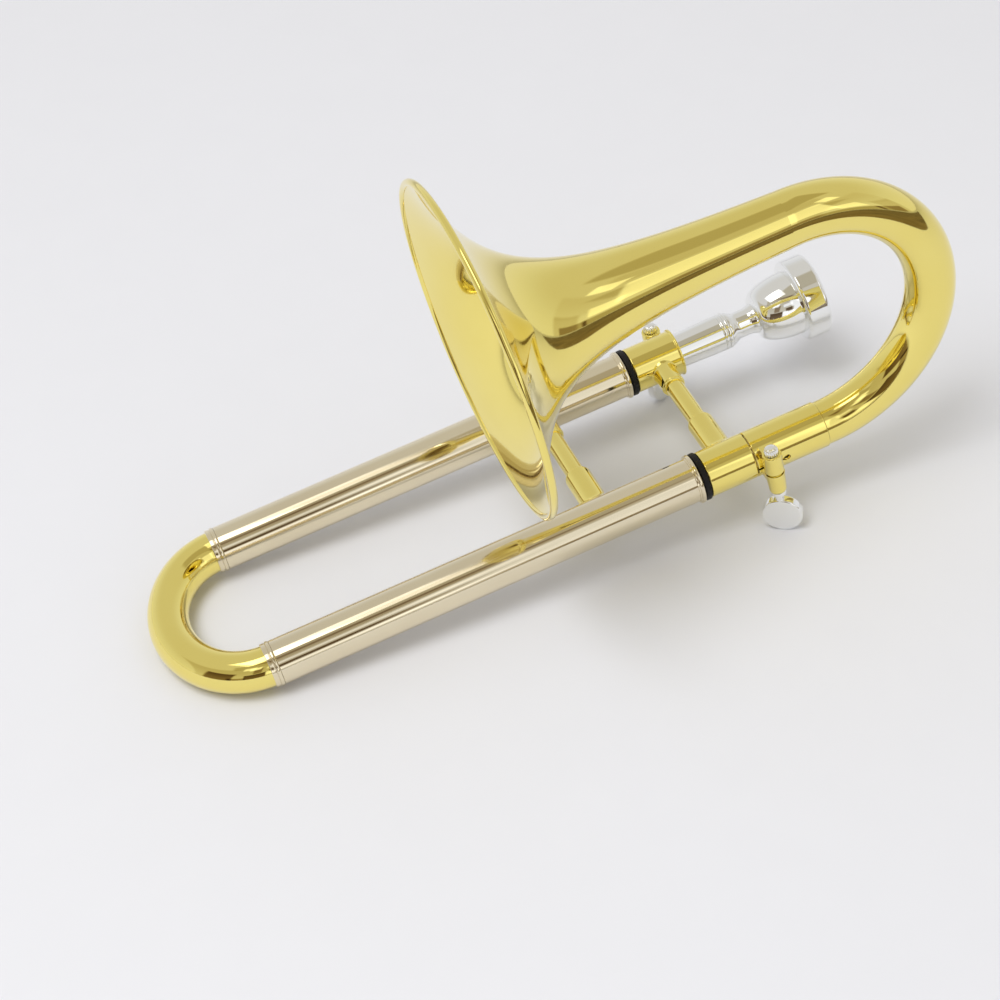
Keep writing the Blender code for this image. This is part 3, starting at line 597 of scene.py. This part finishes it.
def make_inner_slide():
    """Inner tubes with their stockings, bumpers, the near cork barrel and the tenon."""
    for leg, y in LEGS:
        stocking = INNER_TUBE_START + STOCKING_LENGTH
        outline = soften([
            (INNER_TUBE_START, STOCKING_R, LIP_ROUND), (stocking, STOCKING_R, EDGE_ROUND),
            (stocking + STOCKING_SHOULDER, INNER_TUBE_R, EDGE_ROUND), (INNER_TUBE_END, INNER_TUBE_R, 0),
            (INNER_TUBE_END, INNER_TUBE_BORE, 0), (INNER_TUBE_START, INNER_TUBE_BORE, FINE_ROUND),
        ])
        inner = joined_mesh(f"inner_tube_{leg}", [turned(outline, LEG_SIDES, along_x(0, y))])
        add_piece(f"fine_inner_tube_{leg}", inner, NICKEL, "inner_slide", f"inner_tube_{leg}")
        end = BUMPER_START + BUMPER_LENGTH
        outline = soften([
            (BUMPER_START, INNER_TUBE_R, 0), (BUMPER_START, BUMPER_R, BUMPER_ROUND),
            (end, BUMPER_R, BUMPER_ROUND), (end, INNER_TUBE_R, 0),
        ])
        bumper = joined_mesh(f"bumper_{leg}", [turned(outline, LEG_SIDES, along_x(0, y))])
        add_piece(f"fine_bumper_{leg}", bumper, RUBBER, "inner_slide", f"bumper_{leg}")
    seat = INNER_TUBE_R + SNUG_FIT
    outline = soften([
        (BARREL_START, BARREL_BORE, 0), (BARREL_START, BARREL_R, BARREL_ROUND),
        (NEAR_BARREL_END, BARREL_R, EDGE_ROUND), (NEAR_BARREL_END, seat, 0),
        (INNER_TUBE_END, seat, 0), (INNER_TUBE_END, BARREL_BORE, 0),
    ])
    barrel = joined_mesh("cork_barrel_near", [turned(outline, LEG_SIDES, along_x(0, 0))])
    add_piece("fine_cork_barrel_near", barrel, GOLD, "inner_slide", "cork_barrel_near")
    outline = wall_outline(TENON_START, TENON_END, INNER_TUBE_R, INNER_TUBE_BORE)
    tenon = joined_mesh("bell_tenon", [turned(outline, LEG_SIDES, along_x(0, 0))])
    add_piece("fine_bell_tenon", tenon, NICKEL, "inner_slide", "bell_tenon")


def lug_shapes(x, y, side, top):
    """Posts and webs above and below the split of one clamp, each with whether it is a web."""
    lug_y = y + side * LUG_Y
    half = SLIT_WIDTH / 2
    low_y, high_y = sorted((y + side * WEB_ROOT_Y, lug_y))
    shapes = []
    for low, high in ((SLIT_HEIGHT + half, top), (LUG_BOTTOM, SLIT_HEIGHT - half)):
        above = low > SLIT_HEIGHT
        top_round = LUG_ROUND if above else FINE_ROUND
        low_round = FINE_ROUND if above else LUG_FOOT_ROUND
        low_r = LUG_R if above else LUG_FOOT_R
        outline = soften([
            (high, SCREW_HOLE_R, FINE_ROUND), (high, LUG_R, top_round),
            (low, low_r, low_round), (low, SCREW_HOLE_R, FINE_ROUND),
        ])
        shapes.append((turned(outline, SMALL_SIDES, Matrix.Translation((x, lug_y, 0))), False))
        web_low = low if above else WEB_BOTTOM
        web_high = high - WEB_BELOW_TOP if above else high
        web = block((x - WEB_HALF_WIDTH, low_y, web_low), (x + WEB_HALF_WIDTH, high_y, web_high))
        shapes.append((web, True))
    return shapes


def split_cutters(x, y, side, open_end, inwards):
    """The split from open_end and the relief hole at its end."""
    split_end = open_end + inwards * SLIT_LENGTH
    low_x, high_x = sorted((split_end, open_end - inwards * CUTTER_OVER))
    low_y, high_y = sorted((y, y + side * (LUG_Y + LUG_R + CUTTER_OVER)))
    half = SLIT_WIDTH / 2
    slit = block((low_x, low_y, SLIT_HEIGHT - half), (high_x, high_y, SLIT_HEIGHT + half))
    outline = [(0, 0), (0, RELIEF_HOLE_R), (BARREL_R + CUTTER_OVER, RELIEF_HOLE_R),
               (BARREL_R + CUTTER_OVER, 0)]
    matrix = Matrix.Translation((split_end, y, SLIT_HEIGHT)) @ Matrix.Rotation(-side * math.pi / 2, 4, "X")
    relief = turned_solid(outline, SMALL_SIDES // 2, matrix)
    return [slit, relief]


def make_bell_receiver():
    """The sleeve that holds the bell bow and clamps on the tenon."""
    start, end = BELL_RECEIVER_START, BELL_RECEIVER_END
    grip_bore = INNER_TUBE_R + GRIP_CLEARANCE
    bow_bore = BELL_BOW_INSERT_R + SNUG_FIT
    outline = soften([
        (start, grip_bore, FINE_ROUND), (start, BARREL_R, EDGE_ROUND), (end, BARREL_R, EDGE_ROUND),
        (end, bow_bore, 0), (BELL_RECEIVER_STEP, bow_bore, 0), (BELL_RECEIVER_STEP, grip_bore, 0),
    ])
    sleeve = turned(outline, LEG_SIDES, along_x(0, 0))
    cutters = split_cutters(NEAR_LUG_X, 0, -1, start, 1)
    sleeve_mesh = carved("bell_receiver", sleeve, cutters)
    mesh = with_lugs(sleeve_mesh, lug_shapes(NEAR_LUG_X, 0, -1, NEAR_LUG_TOP), 0)
    add_piece("fine_bell_receiver", mesh, GOLD, "bell_section", "bell_receiver")


def make_mouthpiece_receiver():
    """The far barrel, which holds the inner tube at one end and the mouthpiece at the other."""
    y = LEG_SPACING
    start, end = BARREL_START, FAR_RECEIVER_END
    lip = end - RECEIVER_LIP_LENGTH
    step = INNER_TUBE_END + GRIP_CLEARANCE
    outline = soften([
        (start, BARREL_BORE, 0), (start, BARREL_R, BARREL_ROUND), (lip, BARREL_R, LIP_ROUND),
        (lip + RECEIVER_LIP_STEP, RECEIVER_LIP_R, SMALL_ROUND), (end, RECEIVER_LIP_R, EDGE_ROUND),
        (end, shank_radius(end) + SHANK_CLEARANCE, SMALL_ROUND),
        (step, shank_radius(step) + SHANK_CLEARANCE, 0), (step, BARREL_BORE, 0),
    ])
    barrel = turned(outline, LEG_SIDES, along_x(0, y))
    cutters = split_cutters(FAR_LUG_X, y, 1, end, -1)
    barrel_mesh = carved("mouthpiece_receiver", barrel, cutters)
    mesh = with_lugs(barrel_mesh, lug_shapes(FAR_LUG_X, y, 1, FAR_LUG_TOP), y)
    add_piece("fine_mouthpiece_receiver", mesh, GOLD, "inner_slide", "mouthpiece_receiver")


def with_lugs(sleeve_mesh, shapes, y):
    """The sleeve's mesh joined with the clamp's posts and webs, the webs ending inside its wall."""
    inside = BARREL_R - WEB_INTO_SLEEVE
    outline = [(CORE_START, 0), (CORE_START, inside), (CORE_END, inside), (CORE_END, 0)]
    core = turned_solid(outline, LEG_SIDES, along_x(0, y))
    whole = bmesh.new()
    whole.from_mesh(sleeve_mesh)
    for index, (shape, is_web) in enumerate(shapes):
        whole.from_mesh(carved(f"lug_{index}", shape, [core] if is_web else []))
    mesh = bpy.data.meshes.new(sleeve_mesh.name)
    whole.to_mesh(mesh)
    whole.free()
    return mesh


def fluted(points, top):
    """The screw's points with fine upright flutes cut round its tip, above a height."""
    angles = np.arctan2(points[:, 1], points[:, 0])
    radii = np.hypot(points[:, 0], points[:, 1])
    cut = FLUTE_DEPTH * (0.5 - 0.5 * np.cos(SCREW_FLUTES * angles)) * (points[:, 2] > top)
    share = 1 - cut * radii / SCREW_R ** 2
    return points * np.stack([share, share, np.ones(len(points))], axis=1)


def make_thumbscrew(name, x, y, lug_top, turn):
    """A clamp screw: fluted tip, shank, collar and a round paddle."""
    top = lug_top + SCREW_TIP
    flutes_end = lug_top - FLUTES_BELOW_LUG
    neck_end = PADDLE_CENTRE + PADDLE_R - PADDLE_NECK_INSIDE
    outline = [(top, 0)]
    for i in range(1, ROUND_STEPS * 2 + 1):
        angle = math.pi / 2 * i / (ROUND_STEPS * 2)
        outline.append((top - SCREW_DOME + SCREW_DOME * math.cos(angle), SCREW_R * math.sin(angle)))
    outline += [(flutes_end + FLUTES_RUN_OUT, SCREW_R), (flutes_end - FLUTES_RUN_OUT, SCREW_R)]
    outline += soften([
        (COLLAR_TOP + SHANK_RING, SCREW_R, 0), (COLLAR_TOP, SCREW_R, HAIR_ROUND),
        (COLLAR_TOP, COLLAR_R, EDGE_ROUND), (COLLAR_BOTTOM, COLLAR_R, EDGE_ROUND),
        (COLLAR_BOTTOM, PADDLE_NECK_R, EDGE_ROUND), (neck_end, PADDLE_NECK_R, 0),
    ], closed=False)
    outline.append((neck_end, 0))
    matrix = Matrix.Translation((x, y, 0)) @ Matrix.Rotation(turn, 4, "Z")
    points, faces = turned_solid(outline, 2 * SMALL_SIDES, Matrix.Identity(4))
    shank = (moved(fluted(points, flutes_end), matrix), faces)
    half = PADDLE_THICKNESS / 2
    outline = soften([
        (half, 0, 0), (half, PADDLE_R, PADDLE_EDGE), (-half, PADDLE_R, PADDLE_EDGE), (-half, 0, 0),
    ], closed=False)
    paddle = turned_solid(outline, LEG_SIDES, matrix @ along_y(0, 0, PADDLE_CENTRE))
    mesh = joined_mesh(name, [shank, paddle])
    add_piece("fine_" + name, mesh, SILVER, name, name)


def saddled(outline, leg_y, way, leg_r, x, sides):
    """A closed outline of (distance, radius) turned about Y, its distances counted from a leg's surface."""
    distances = np.array([point[0] for point in outline])
    radii = np.array([point[1] for point in outline])
    angles = np.linspace(0, 2 * math.pi, sides, endpoint=False)
    xs = x + np.outer(radii, np.cos(angles))
    zs = np.outer(radii, np.sin(angles))
    surface = np.sqrt(np.maximum(leg_r ** 2 - zs ** 2, 0))
    share = np.clip(1 - distances / BRACE_SADDLE, 0, 1)[:, None]
    level = leg_r * (1 - share) + surface * share
    ys = leg_y + way * (level + distances[:, None])
    points = np.stack([xs, ys, zs], axis=-1).reshape(-1, 3)
    return points, grid_faces(len(outline), sides, True)


def sleeve_outline(radius, length):
    """Outline of a brace's end sleeve, with a small flare at the leg and a fine lip at its open end."""
    bore = BRACE_TUBE_R - OVERLAP
    flare = [(-BRACE_SINK, bore), (-BRACE_SINK, radius + BRACE_FLARE)]
    for i in range(1, ROUND_STEPS + 1):
        angle = math.pi / 2 * i / ROUND_STEPS
        distance = BRACE_FILLET * (1 - math.cos(angle))
        flare.append((distance, radius + BRACE_FLARE * (1 - math.sin(angle))))
    lip = length - BRACE_LIP_LENGTH
    rest = soften([
        (2 * BRACE_FILLET, radius, 0), (lip, radius, FINE_ROUND),
        (lip + FINE_ROUND, radius - BRACE_LIP_DROP, FINE_ROUND),
        (length, radius - BRACE_LIP_DROP, BRACE_LIP_ROUND), (length, bore, 0),
    ], closed=False)
    return flare + rest


def make_brace(name, x, leg_r, body):
    """A cross brace: a tube, a long ferrule at the near leg and a short socket at the far leg."""
    ferrule = saddled(sleeve_outline(BRACE_FERRULE_R, BRACE_FERRULE_LENGTH), 0, 1, leg_r, x, SMALL_SIDES)
    mesh = joined_mesh(name, [ferrule])
    add_piece(f"fine_{name}_brace_ferrule", mesh, GOLD, body, f"{name}_brace_ferrule")
    socket = saddled(sleeve_outline(BRACE_SOCKET_R, BRACE_SOCKET_LENGTH), LEG_SPACING, -1, leg_r, x,
                     SMALL_SIDES)
    mesh = joined_mesh(name, [socket])
    add_piece(f"fine_{name}_brace_socket", mesh, GOLD, body, f"{name}_brace_socket")
    start = leg_r + BRACE_FERRULE_LENGTH / 2
    end = LEG_SPACING - leg_r - BRACE_SOCKET_LENGTH / 2
    outline = wall_outline(start, end, BRACE_TUBE_R, BRACE_TUBE_R - BRACE_TUBE_WALL)
    mesh = joined_mesh(name, [turned(outline, SMALL_SIDES, along_y(x, 0))])
    add_piece(f"fine_{name}_brace_tube", mesh, GOLD, body, f"{name}_brace_tube")


def flare_spread(distance):
    """The share of the flare's spread that is left at a distance behind the mouth."""
    return (1 + distance / FLARE_LENGTH) ** -FLARE_POWER


def flare_radius(distance):
    """Outer radius of the bell at a distance behind its mouth."""
    tail = flare_spread(BELL_LENGTH)
    return TAIL_R + (BELL_MOUTH_R - TAIL_R) * (flare_spread(distance) - tail) / (1 - tail)


def flare_slope(distance):
    """How fast the bell's radius changes with the distance behind its mouth; it is negative."""
    fall = FLARE_POWER / FLARE_LENGTH * (1 + distance / FLARE_LENGTH) ** (-FLARE_POWER - 1)
    return -(BELL_MOUTH_R - TAIL_R) * fall / (1 - flare_spread(BELL_LENGTH))


def make_bell_section():
    """Bell bow, bell and the bead round its mouth."""
    half = BELL_AXIS_HEIGHT / 2
    arc = half_oval((BELL_BOW_X, 0, half), (0, 0, 1), (1, 0, 0), half, half, BOW_STEPS)
    lead = BELL_BOW_X - BELL_ARC_LEAD
    start = np.array([(BELL_RECEIVER_STEP + GRIP_CLEARANCE, 0, 0), (BELL_RECEIVER_END + NEAR_END, 0, 0),
                      (BELL_RECEIVER_END + 2 * NEAR_END, 0, 0), (lead, 0, 0)])
    tail = np.array([(lead, 0, BELL_AXIS_HEIGHT), (BELL_BOW_X - BELL_BOW_TAIL, 0, BELL_AXIS_HEIGHT)])
    path = np.vstack([start, arc, tail])
    widening = BELL_BOW_SMALL_R + (TAIL_R - BELL_BOW_SMALL_R) * np.linspace(0, 1, BOW_STEPS + 1)
    radii = np.concatenate([[BELL_BOW_INSERT_R] * 2, [BELL_BOW_SMALL_R] * 2, widening, [TAIL_R] * 2])
    bow = joined_mesh("bell_bow", [bent(path, radii, (0, 1, 0), BELL_BOW_WALL, LEG_SIDES)])
    add_piece("fine_bell_bow", bow, GOLD, "bell_section", "bell_bow")
    length = BELL_LENGTH - BELL_BOW_TAIL
    outer, bore = [], []
    for i in range(FLARE_STEPS + 1):
        distance = length * (i / FLARE_STEPS) ** FLARE_CROWDING
        slope = flare_slope(distance)
        lean = math.hypot(1, slope)
        x, radius = RIM_X + distance, flare_radius(distance)
        outer.append((x, radius))
        bore.append((x + BELL_WALL * slope / lean, radius - BELL_WALL / lean))
    matrix = along_x(0, 0, BELL_AXIS_HEIGHT)
    bell = joined_mesh("bell", [turned(outer + bore[::-1], BELL_SIDES, matrix)])
    add_piece("fine_bell", bell, GOLD, "bell_section", "bell")
    angles = [2 * math.pi * i / BEAD_STEPS for i in range(BEAD_STEPS)]
    outline = [(RIM_X + RIM_BEAD_R * math.cos(a), BELL_MOUTH_R + RIM_BEAD_R * math.sin(a)) for a in angles]
    bead = joined_mesh("bell_rim_bead", [turned(outline, BELL_SIDES, matrix)])
    add_piece("fine_bell_rim_bead", bead, GOLD, "bell_section", "bell_rim_bead")


def shank_radius(x):
    """Radius of the mouthpiece's tapered shank at a place along the leg."""
    return SHANK_END_R + SHANK_TAPER * (x - SHANK_START)


def bead_outline(low):
    """Half-round bead on the shank with a groove on each side."""
    points = [(low, BEAD_GROOVE_R)]
    for i in range(BEAD_STEPS // 2 + 1):
        angle = math.pi * i / (BEAD_STEPS // 2)
        x = low + SHANK_BEAD_LENGTH * (0.5 - SHANK_BEAD_HALF * math.cos(angle))
        swelling = math.sin(angle) ** SHANK_BEAD_FULLNESS
        points.append((x, BEAD_GROOVE_R + (SHANK_BEAD_R - BEAD_GROOVE_R) * swelling))
    points.append((low + SHANK_BEAD_LENGTH, BEAD_GROOVE_R))
    return points


def eased(start, end):
    """Points of a smooth S from (x, radius) start to end, level at both ends."""
    points = []
    for i in range(SWELL_STEPS + 1):
        share = i / SWELL_STEPS
        points.append((start[0] + (end[0] - start[0]) * share,
                       start[1] + (end[1] - start[1]) * share * share * (3 - 2 * share)))
    return points


def make_mouthpiece():
    """Shank, double bead, neck, cup and rim, with the bore through them."""
    neck = SHANK_END + 2 * SHANK_BEAD_LENGTH
    cup = neck + NECK_LENGTH
    band = cup + CUP_BODY_LENGTH
    rim = band + RIM_BAND_LENGTH
    outer = [(SHANK_START, SHANK_END_R), (SHANK_END - SHANK_STOP, shank_radius(SHANK_END))]
    outer += bead_outline(SHANK_END) + bead_outline(SHANK_END + SHANK_BEAD_LENGTH)
    outer += eased((neck + NEAR_END, NECK_START_R), (neck + NECK_TAPER, NECK_R))
    outer += eased((cup - NECK_FLARE, NECK_R), (cup - CUP_FOOT, NECK_END_R))
    outer += swell((cup, CUP_FOOT_R), (band - CUP_FOOT, CUP_BODY_R))
    outer += swell((band, RIM_BAND_R - RIM_BACK_ROUND), (band + RIM_BACK_ROUND, RIM_BAND_R))
    front = swell((rim, RIM_BAND_R - RIM_FRONT_ROUND), (rim - RIM_FRONT_ROUND, RIM_BAND_R))
    outer += front[::-1]
    throat = rim - CUP_DEPTH - THROAT_FUNNEL
    bore = [(SHANK_START, BACKBORE_END_R), (throat - THROAT_LENGTH, THROAT_R), (throat, THROAT_R)]
    bore += swell((rim - CUP_DEPTH, CUP_FLOOR_R), (rim - CUP_EDGE, CUP_R))
    bore += [(rim - CUP_EDGE_BACK, CUP_R + CUP_EDGE_SPREAD), (rim, CUP_R + CUP_EDGE)]
    mesh = joined_mesh("mouthpiece", [turned(outer + bore[::-1], LEG_SIDES, along_x(0, LEG_SPACING))])
    add_piece("fine_mouthpiece", mesh, SILVER, "mouthpiece", "mouthpiece")


def new_material(name):
    """A node material with its shader and the piece's coordinates in the instrument's axes."""
    material = bpy.data.materials.new(name)
    material.use_nodes = True
    tree = material.node_tree
    where = tree.nodes.new("ShaderNodeTexCoord")
    axes = tree.nodes.new("ShaderNodeMapping")
    axes.vector_type = "TEXTURE"
    axes.inputs["Location"].default_value = STANCE.translation
    axes.inputs["Rotation"].default_value = STANCE.to_euler()
    tree.links.new(where.outputs["Object"], axes.inputs["Vector"])
    return material, tree, tree.nodes["Principled BSDF"], axes.outputs["Vector"]


def noise(tree, vector, stretch, detail=PLAIN_DETAIL):
    """Noise whose grain is set by a scale along each axis, in marks per metre."""
    scale = tree.nodes.new("ShaderNodeVectorMath")
    scale.operation = "MULTIPLY"
    scale.inputs[1].default_value = stretch
    tree.links.new(vector, scale.inputs[0])
    texture = tree.nodes.new("ShaderNodeTexNoise")
    texture.inputs["Scale"].default_value = 1.0
    texture.inputs["Detail"].default_value = detail
    tree.links.new(scale.outputs["Vector"], texture.inputs["Vector"])
    return texture.outputs["Fac"]


def spread(tree, value, low, high):
    """A noise value spread over a range."""
    ranged = tree.nodes.new("ShaderNodeMapRange")
    ranged.inputs["From Min"].default_value = NOISE_LOW
    ranged.inputs["From Max"].default_value = NOISE_HIGH
    ranged.inputs["To Min"].default_value = low
    ranged.inputs["To Max"].default_value = high
    tree.links.new(value, ranged.inputs["Value"])
    return ranged.outputs["Result"]


def between(tree, value, first, second):
    """A colour between two by a value."""
    mix = tree.nodes.new("ShaderNodeMix")
    mix.data_type = "RGBA"
    mix.inputs["A"].default_value = (*first, 1)
    mix.inputs["B"].default_value = (*second, 1)
    tree.links.new(value, mix.inputs["Factor"])
    return mix.outputs["Result"]


def bumped(tree, height, depth, normal=None):
    """A bump of a height field with a depth in metres."""
    bump = tree.nodes.new("ShaderNodeBump")
    bump.inputs["Distance"].default_value = depth
    tree.links.new(height, bump.inputs["Height"])
    if normal is not None:
        tree.links.new(normal, bump.inputs["Normal"])
    return bump.outputs["Normal"]


def metal(name, light, deep, smooth, rough, streaks, marks_depth, wave_depth):
    """A polished metal with a varying tone, polishing marks and a faint waviness."""
    material, tree, shader, vector = new_material(name)
    shader.inputs["Metallic"].default_value = 1.0
    tone = spread(tree, noise(tree, vector, TONE_PATCHES), 0, 1)
    tree.links.new(between(tree, tone, light, deep), shader.inputs["Base Color"])
    marks = noise(tree, vector, streaks)
    tree.links.new(spread(tree, marks, smooth, rough), shader.inputs["Roughness"])
    wave = noise(tree, vector, WAVES, WAVE_DETAIL)
    waved = bumped(tree, wave, wave_depth)
    tree.links.new(bumped(tree, marks, marks_depth, waved), shader.inputs["Normal"])
    return material, shader


def make_materials():
    """The four finishes by slot."""
    gold, shader = metal(GOLD, *GOLD_FINISH)
    shader.inputs["Coat Weight"].default_value = COAT_WEIGHT
    shader.inputs["Coat Roughness"].default_value = COAT_ROUGHNESS
    shader.inputs["Coat IOR"].default_value = COAT_IOR
    nickel, _ = metal(NICKEL, *NICKEL_FINISH)
    silver, _ = metal(SILVER, *SILVER_FINISH)
    rubber, tree, shader, vector = new_material(RUBBER)
    grain = noise(tree, vector, RUBBER_GRAIN, GRAIN_DETAIL)
    tree.links.new(between(tree, grain, RUBBER_DEEP, RUBBER_LIGHT), shader.inputs["Base Color"])
    shader.inputs["Specular IOR Level"].default_value = RUBBER_SPECULAR
    tree.links.new(spread(tree, grain, RUBBER_SMOOTH, RUBBER_ROUGH), shader.inputs["Roughness"])
    tree.links.new(bumped(tree, grain, RUBBER_GRAIN_DEPTH), shader.inputs["Normal"])
    return {GOLD: gold, NICKEL: nickel, SILVER: silver, RUBBER: rubber}


def make_floor():
    """A wide pale floor under the feet."""
    mesh = bpy.data.meshes.new("floor")
    shape = bmesh.new()
    bmesh.ops.create_circle(shape, cap_ends=True, segments=FLOOR_SIDES, radius=FLOOR_R)
    shape.to_mesh(mesh)
    shape.free()
    floor = bpy.data.objects.new("floor", mesh)
    bpy.context.scene.collection.objects.link(floor)
    material, tree, shader, vector = new_material("pale_floor")
    shader.inputs["Roughness"].default_value = FLOOR_ROUGHNESS
    shader.inputs["Specular IOR Level"].default_value = FLOOR_SPECULAR
    mottle = noise(tree, vector, FLOOR_MOTTLE, MOTTLE_DETAIL)
    tree.links.new(between(tree, mottle, FLOOR_LIGHT, FLOOR_DEEP), shader.inputs["Base Color"])
    mesh.materials.append(material)


def make_card():
    """A dark brown card on the floor in front of the instrument, seen only in its metal."""
    corners = [STANCE @ Vector((x, y, 0)) for x, y in CARD_EDGE + CARD_REST]
    mesh = bpy.data.meshes.new("card")
    mesh.from_pydata([(corner.x, corner.y, CARD_RISE) for corner in corners], [], [range(len(corners))])
    card = bpy.data.objects.new("card", mesh)
    bpy.context.scene.collection.objects.link(card)
    material, tree, shader, vector = new_material("brown_card")
    shader.inputs["Roughness"].default_value = CARD_ROUGHNESS
    patches = noise(tree, vector, CARD_PATCHES)
    tree.links.new(between(tree, patches, CARD_LIGHT, CARD_DEEP), shader.inputs["Base Color"])
    mesh.materials.append(material)
    card.visible_camera = False
    card.visible_diffuse = False
    card.visible_shadow = False


def ramp(tree, value, zero_at, one_at):
    """A smooth rise from 0 to 1 between two values."""
    ranged = tree.nodes.new("ShaderNodeMapRange")
    ranged.interpolation_type = "SMOOTHSTEP"
    ranged.inputs["From Min"].default_value = zero_at
    ranged.inputs["From Max"].default_value = one_at
    tree.links.new(value, ranged.inputs["Value"])
    return ranged.outputs["Result"]


def compute(tree, operation, first, second=None):
    """A Math node on one or two values, each a socket or a number."""
    node = tree.nodes.new("ShaderNodeMath")
    node.operation = operation
    for socket, value in zip(node.inputs, (first, second)):
        if value is None:
            continue
        if isinstance(value, bpy.types.NodeSocket):
            tree.links.new(value, socket)
        else:
            socket.default_value = value
    return node.outputs["Value"]


def project(tree, direction, axis):
    """How far a direction runs along an axis."""
    node = tree.nodes.new("ShaderNodeVectorMath")
    node.operation = "DOT_PRODUCT"
    node.inputs[1].default_value = axis
    tree.links.new(direction, node.inputs[0])
    return node.outputs["Value"]


def softbox(tree, direction, heading, height, half_wide, half_tall, edge):
    """Share of a soft-edged box at a heading and height, in degrees, seen in a direction."""
    turn, rise = math.radians(heading), math.radians(height)
    level = Vector((math.cos(turn), math.sin(turn), 0))
    centre = level * math.cos(rise) + Vector((0, 0, math.sin(rise)))
    wide = Vector((-math.sin(turn), math.cos(turn), 0))
    tall = centre.cross(wide)
    across = compute(tree, "ABSOLUTE", project(tree, direction, wide))
    upright = compute(tree, "ABSOLUTE", project(tree, direction, tall))
    sides = ramp(tree, across, math.sin(math.radians(half_wide + edge)), math.sin(math.radians(half_wide)))
    ends = ramp(tree, upright, math.sin(math.radians(half_tall + edge)), math.sin(math.radians(half_tall)))
    ahead = ramp(tree, project(tree, direction, centre), 0.0, BOX_AHEAD)
    return compute(tree, "MULTIPLY", compute(tree, "MULTIPLY", sides, ends), ahead)


def warmth(tree, level):
    """The room's colour by its level: brown in its dark parts, white in its bright ones."""
    node = tree.nodes.new("ShaderNodeValToRGB")
    tree.links.new(level, node.inputs["Fac"])
    stops = node.color_ramp.elements
    lowest, *middle, highest = ROOM_TINTS
    for stop, (at, colour) in zip(stops, (lowest, highest)):
        stop.position = at
        stop.color = (*colour, 1)
    for at, colour in middle:
        stops.new(at).color = (*colour, 1)
    return node.outputs["Color"]


def make_world(front):
    """A pale room with light and dark soft boxes; front is the camera's heading in degrees."""
    world = bpy.data.worlds.new("studio")
    bpy.context.scene.world = world
    world.use_nodes = True
    tree = world.node_tree
    background = tree.nodes["Background"]
    where = tree.nodes.new("ShaderNodeTexCoord")
    direction = where.outputs["Generated"]
    height = project(tree, direction, (0, 0, 1))
    fall = compute(tree, "MULTIPLY", ramp(tree, height, 0.0, SKY_TOP), SKY_FALL)
    level = compute(tree, "ADD", fall, HORIZON_LEVEL)
    for heading, rise, half_wide, half_tall, edge, change in ROOM_BOXES:
        share = softbox(tree, direction, front + heading, rise, half_wide, half_tall, edge)
        level = compute(tree, "ADD", level, compute(tree, "MULTIPLY", share, change))
    level = compute(tree, "MAXIMUM", level, DARKEST_LEVEL)
    path = tree.nodes.new("ShaderNodeLightPath")
    seen = tree.nodes.new("ShaderNodeMix")
    seen.data_type = "FLOAT"
    seen.inputs["B"].default_value = BACKDROP_LEVEL
    tree.links.new(path.outputs["Is Camera Ray"], seen.inputs["Factor"])
    tree.links.new(level, seen.inputs["A"])
    tree.links.new(seen.outputs["Result"], background.inputs["Strength"])
    tree.links.new(warmth(tree, seen.outputs["Result"]), background.inputs["Color"])


def area_light(name, at, target, width, depth, level):
    """A soft oblong lamp of an even level, facing a target; both places are in the instrument's axes."""
    data = bpy.data.lights.new(name, "AREA")
    data.shape = "RECTANGLE"
    data.size = width
    data.size_y = depth
    data.energy = level * math.pi * width * depth
    lamp = bpy.data.objects.new(name, data)
    lamp.location = STANCE @ Vector(at)
    way = STANCE @ Vector(target) - lamp.location
    lamp.rotation_euler = way.to_track_quat("-Z", "Y").to_euler()
    lamp.visible_camera = False
    bpy.context.scene.collection.objects.link(lamp)
    return lamp


def make_studio():
    """Camera, room, lamps, card and floor."""
    scene = bpy.context.scene
    scene.view_settings.view_transform = "Standard"
    data = bpy.data.cameras.new("camera")
    data.lens = CAMERA_LENS
    data.sensor_width = CAMERA_SENSOR
    data.clip_start = CAMERA_NEAREST
    data.clip_end = CAMERA_FARTHEST
    camera = bpy.data.objects.new("camera", data)
    axes = Matrix((CAMERA_RIGHT, CAMERA_UP, CAMERA_BACK)).transposed().to_4x4()
    camera.matrix_world = STANCE @ Matrix.Translation(CAMERA_AT) @ axes
    scene.collection.objects.link(camera)
    scene.camera = camera
    middle = (CAD_LOW + CAD_HIGH) / 2
    away = camera.matrix_world.translation - middle
    make_world(math.degrees(math.atan2(away.y, away.x)))
    key = area_light("key", *KEY_LAMP)
    key.visible_glossy = False
    area_light("strip", *STRIP_LAMP)
    area_light("halo", *HALO_LAMP)
    make_card()
    make_floor()


MATERIALS = make_materials()
make_outer_slide()
make_inner_slide()
make_bell_receiver()
make_mouthpiece_receiver()
make_thumbscrew("bell_clamp_screw", NEAR_LUG_X, -LUG_Y, NEAR_LUG_TOP, -PADDLE_TURN)
make_thumbscrew("mouthpiece_clamp_screw", FAR_LUG_X, LEG_SPACING + LUG_Y, FAR_LUG_TOP, PADDLE_TURN)
make_brace("outer", OUTER_BRACE_X, OUTER_TUBE_R, "outer_slide")
make_brace("inner", INNER_BRACE_X, BARREL_R, "inner_slide")
make_bell_section()
make_mouthpiece()
frame["nodes"]["leadpipe"].data.materials.clear()
frame["nodes"]["leadpipe"].data.materials.append(MATERIALS[GOLD])
make_studio()
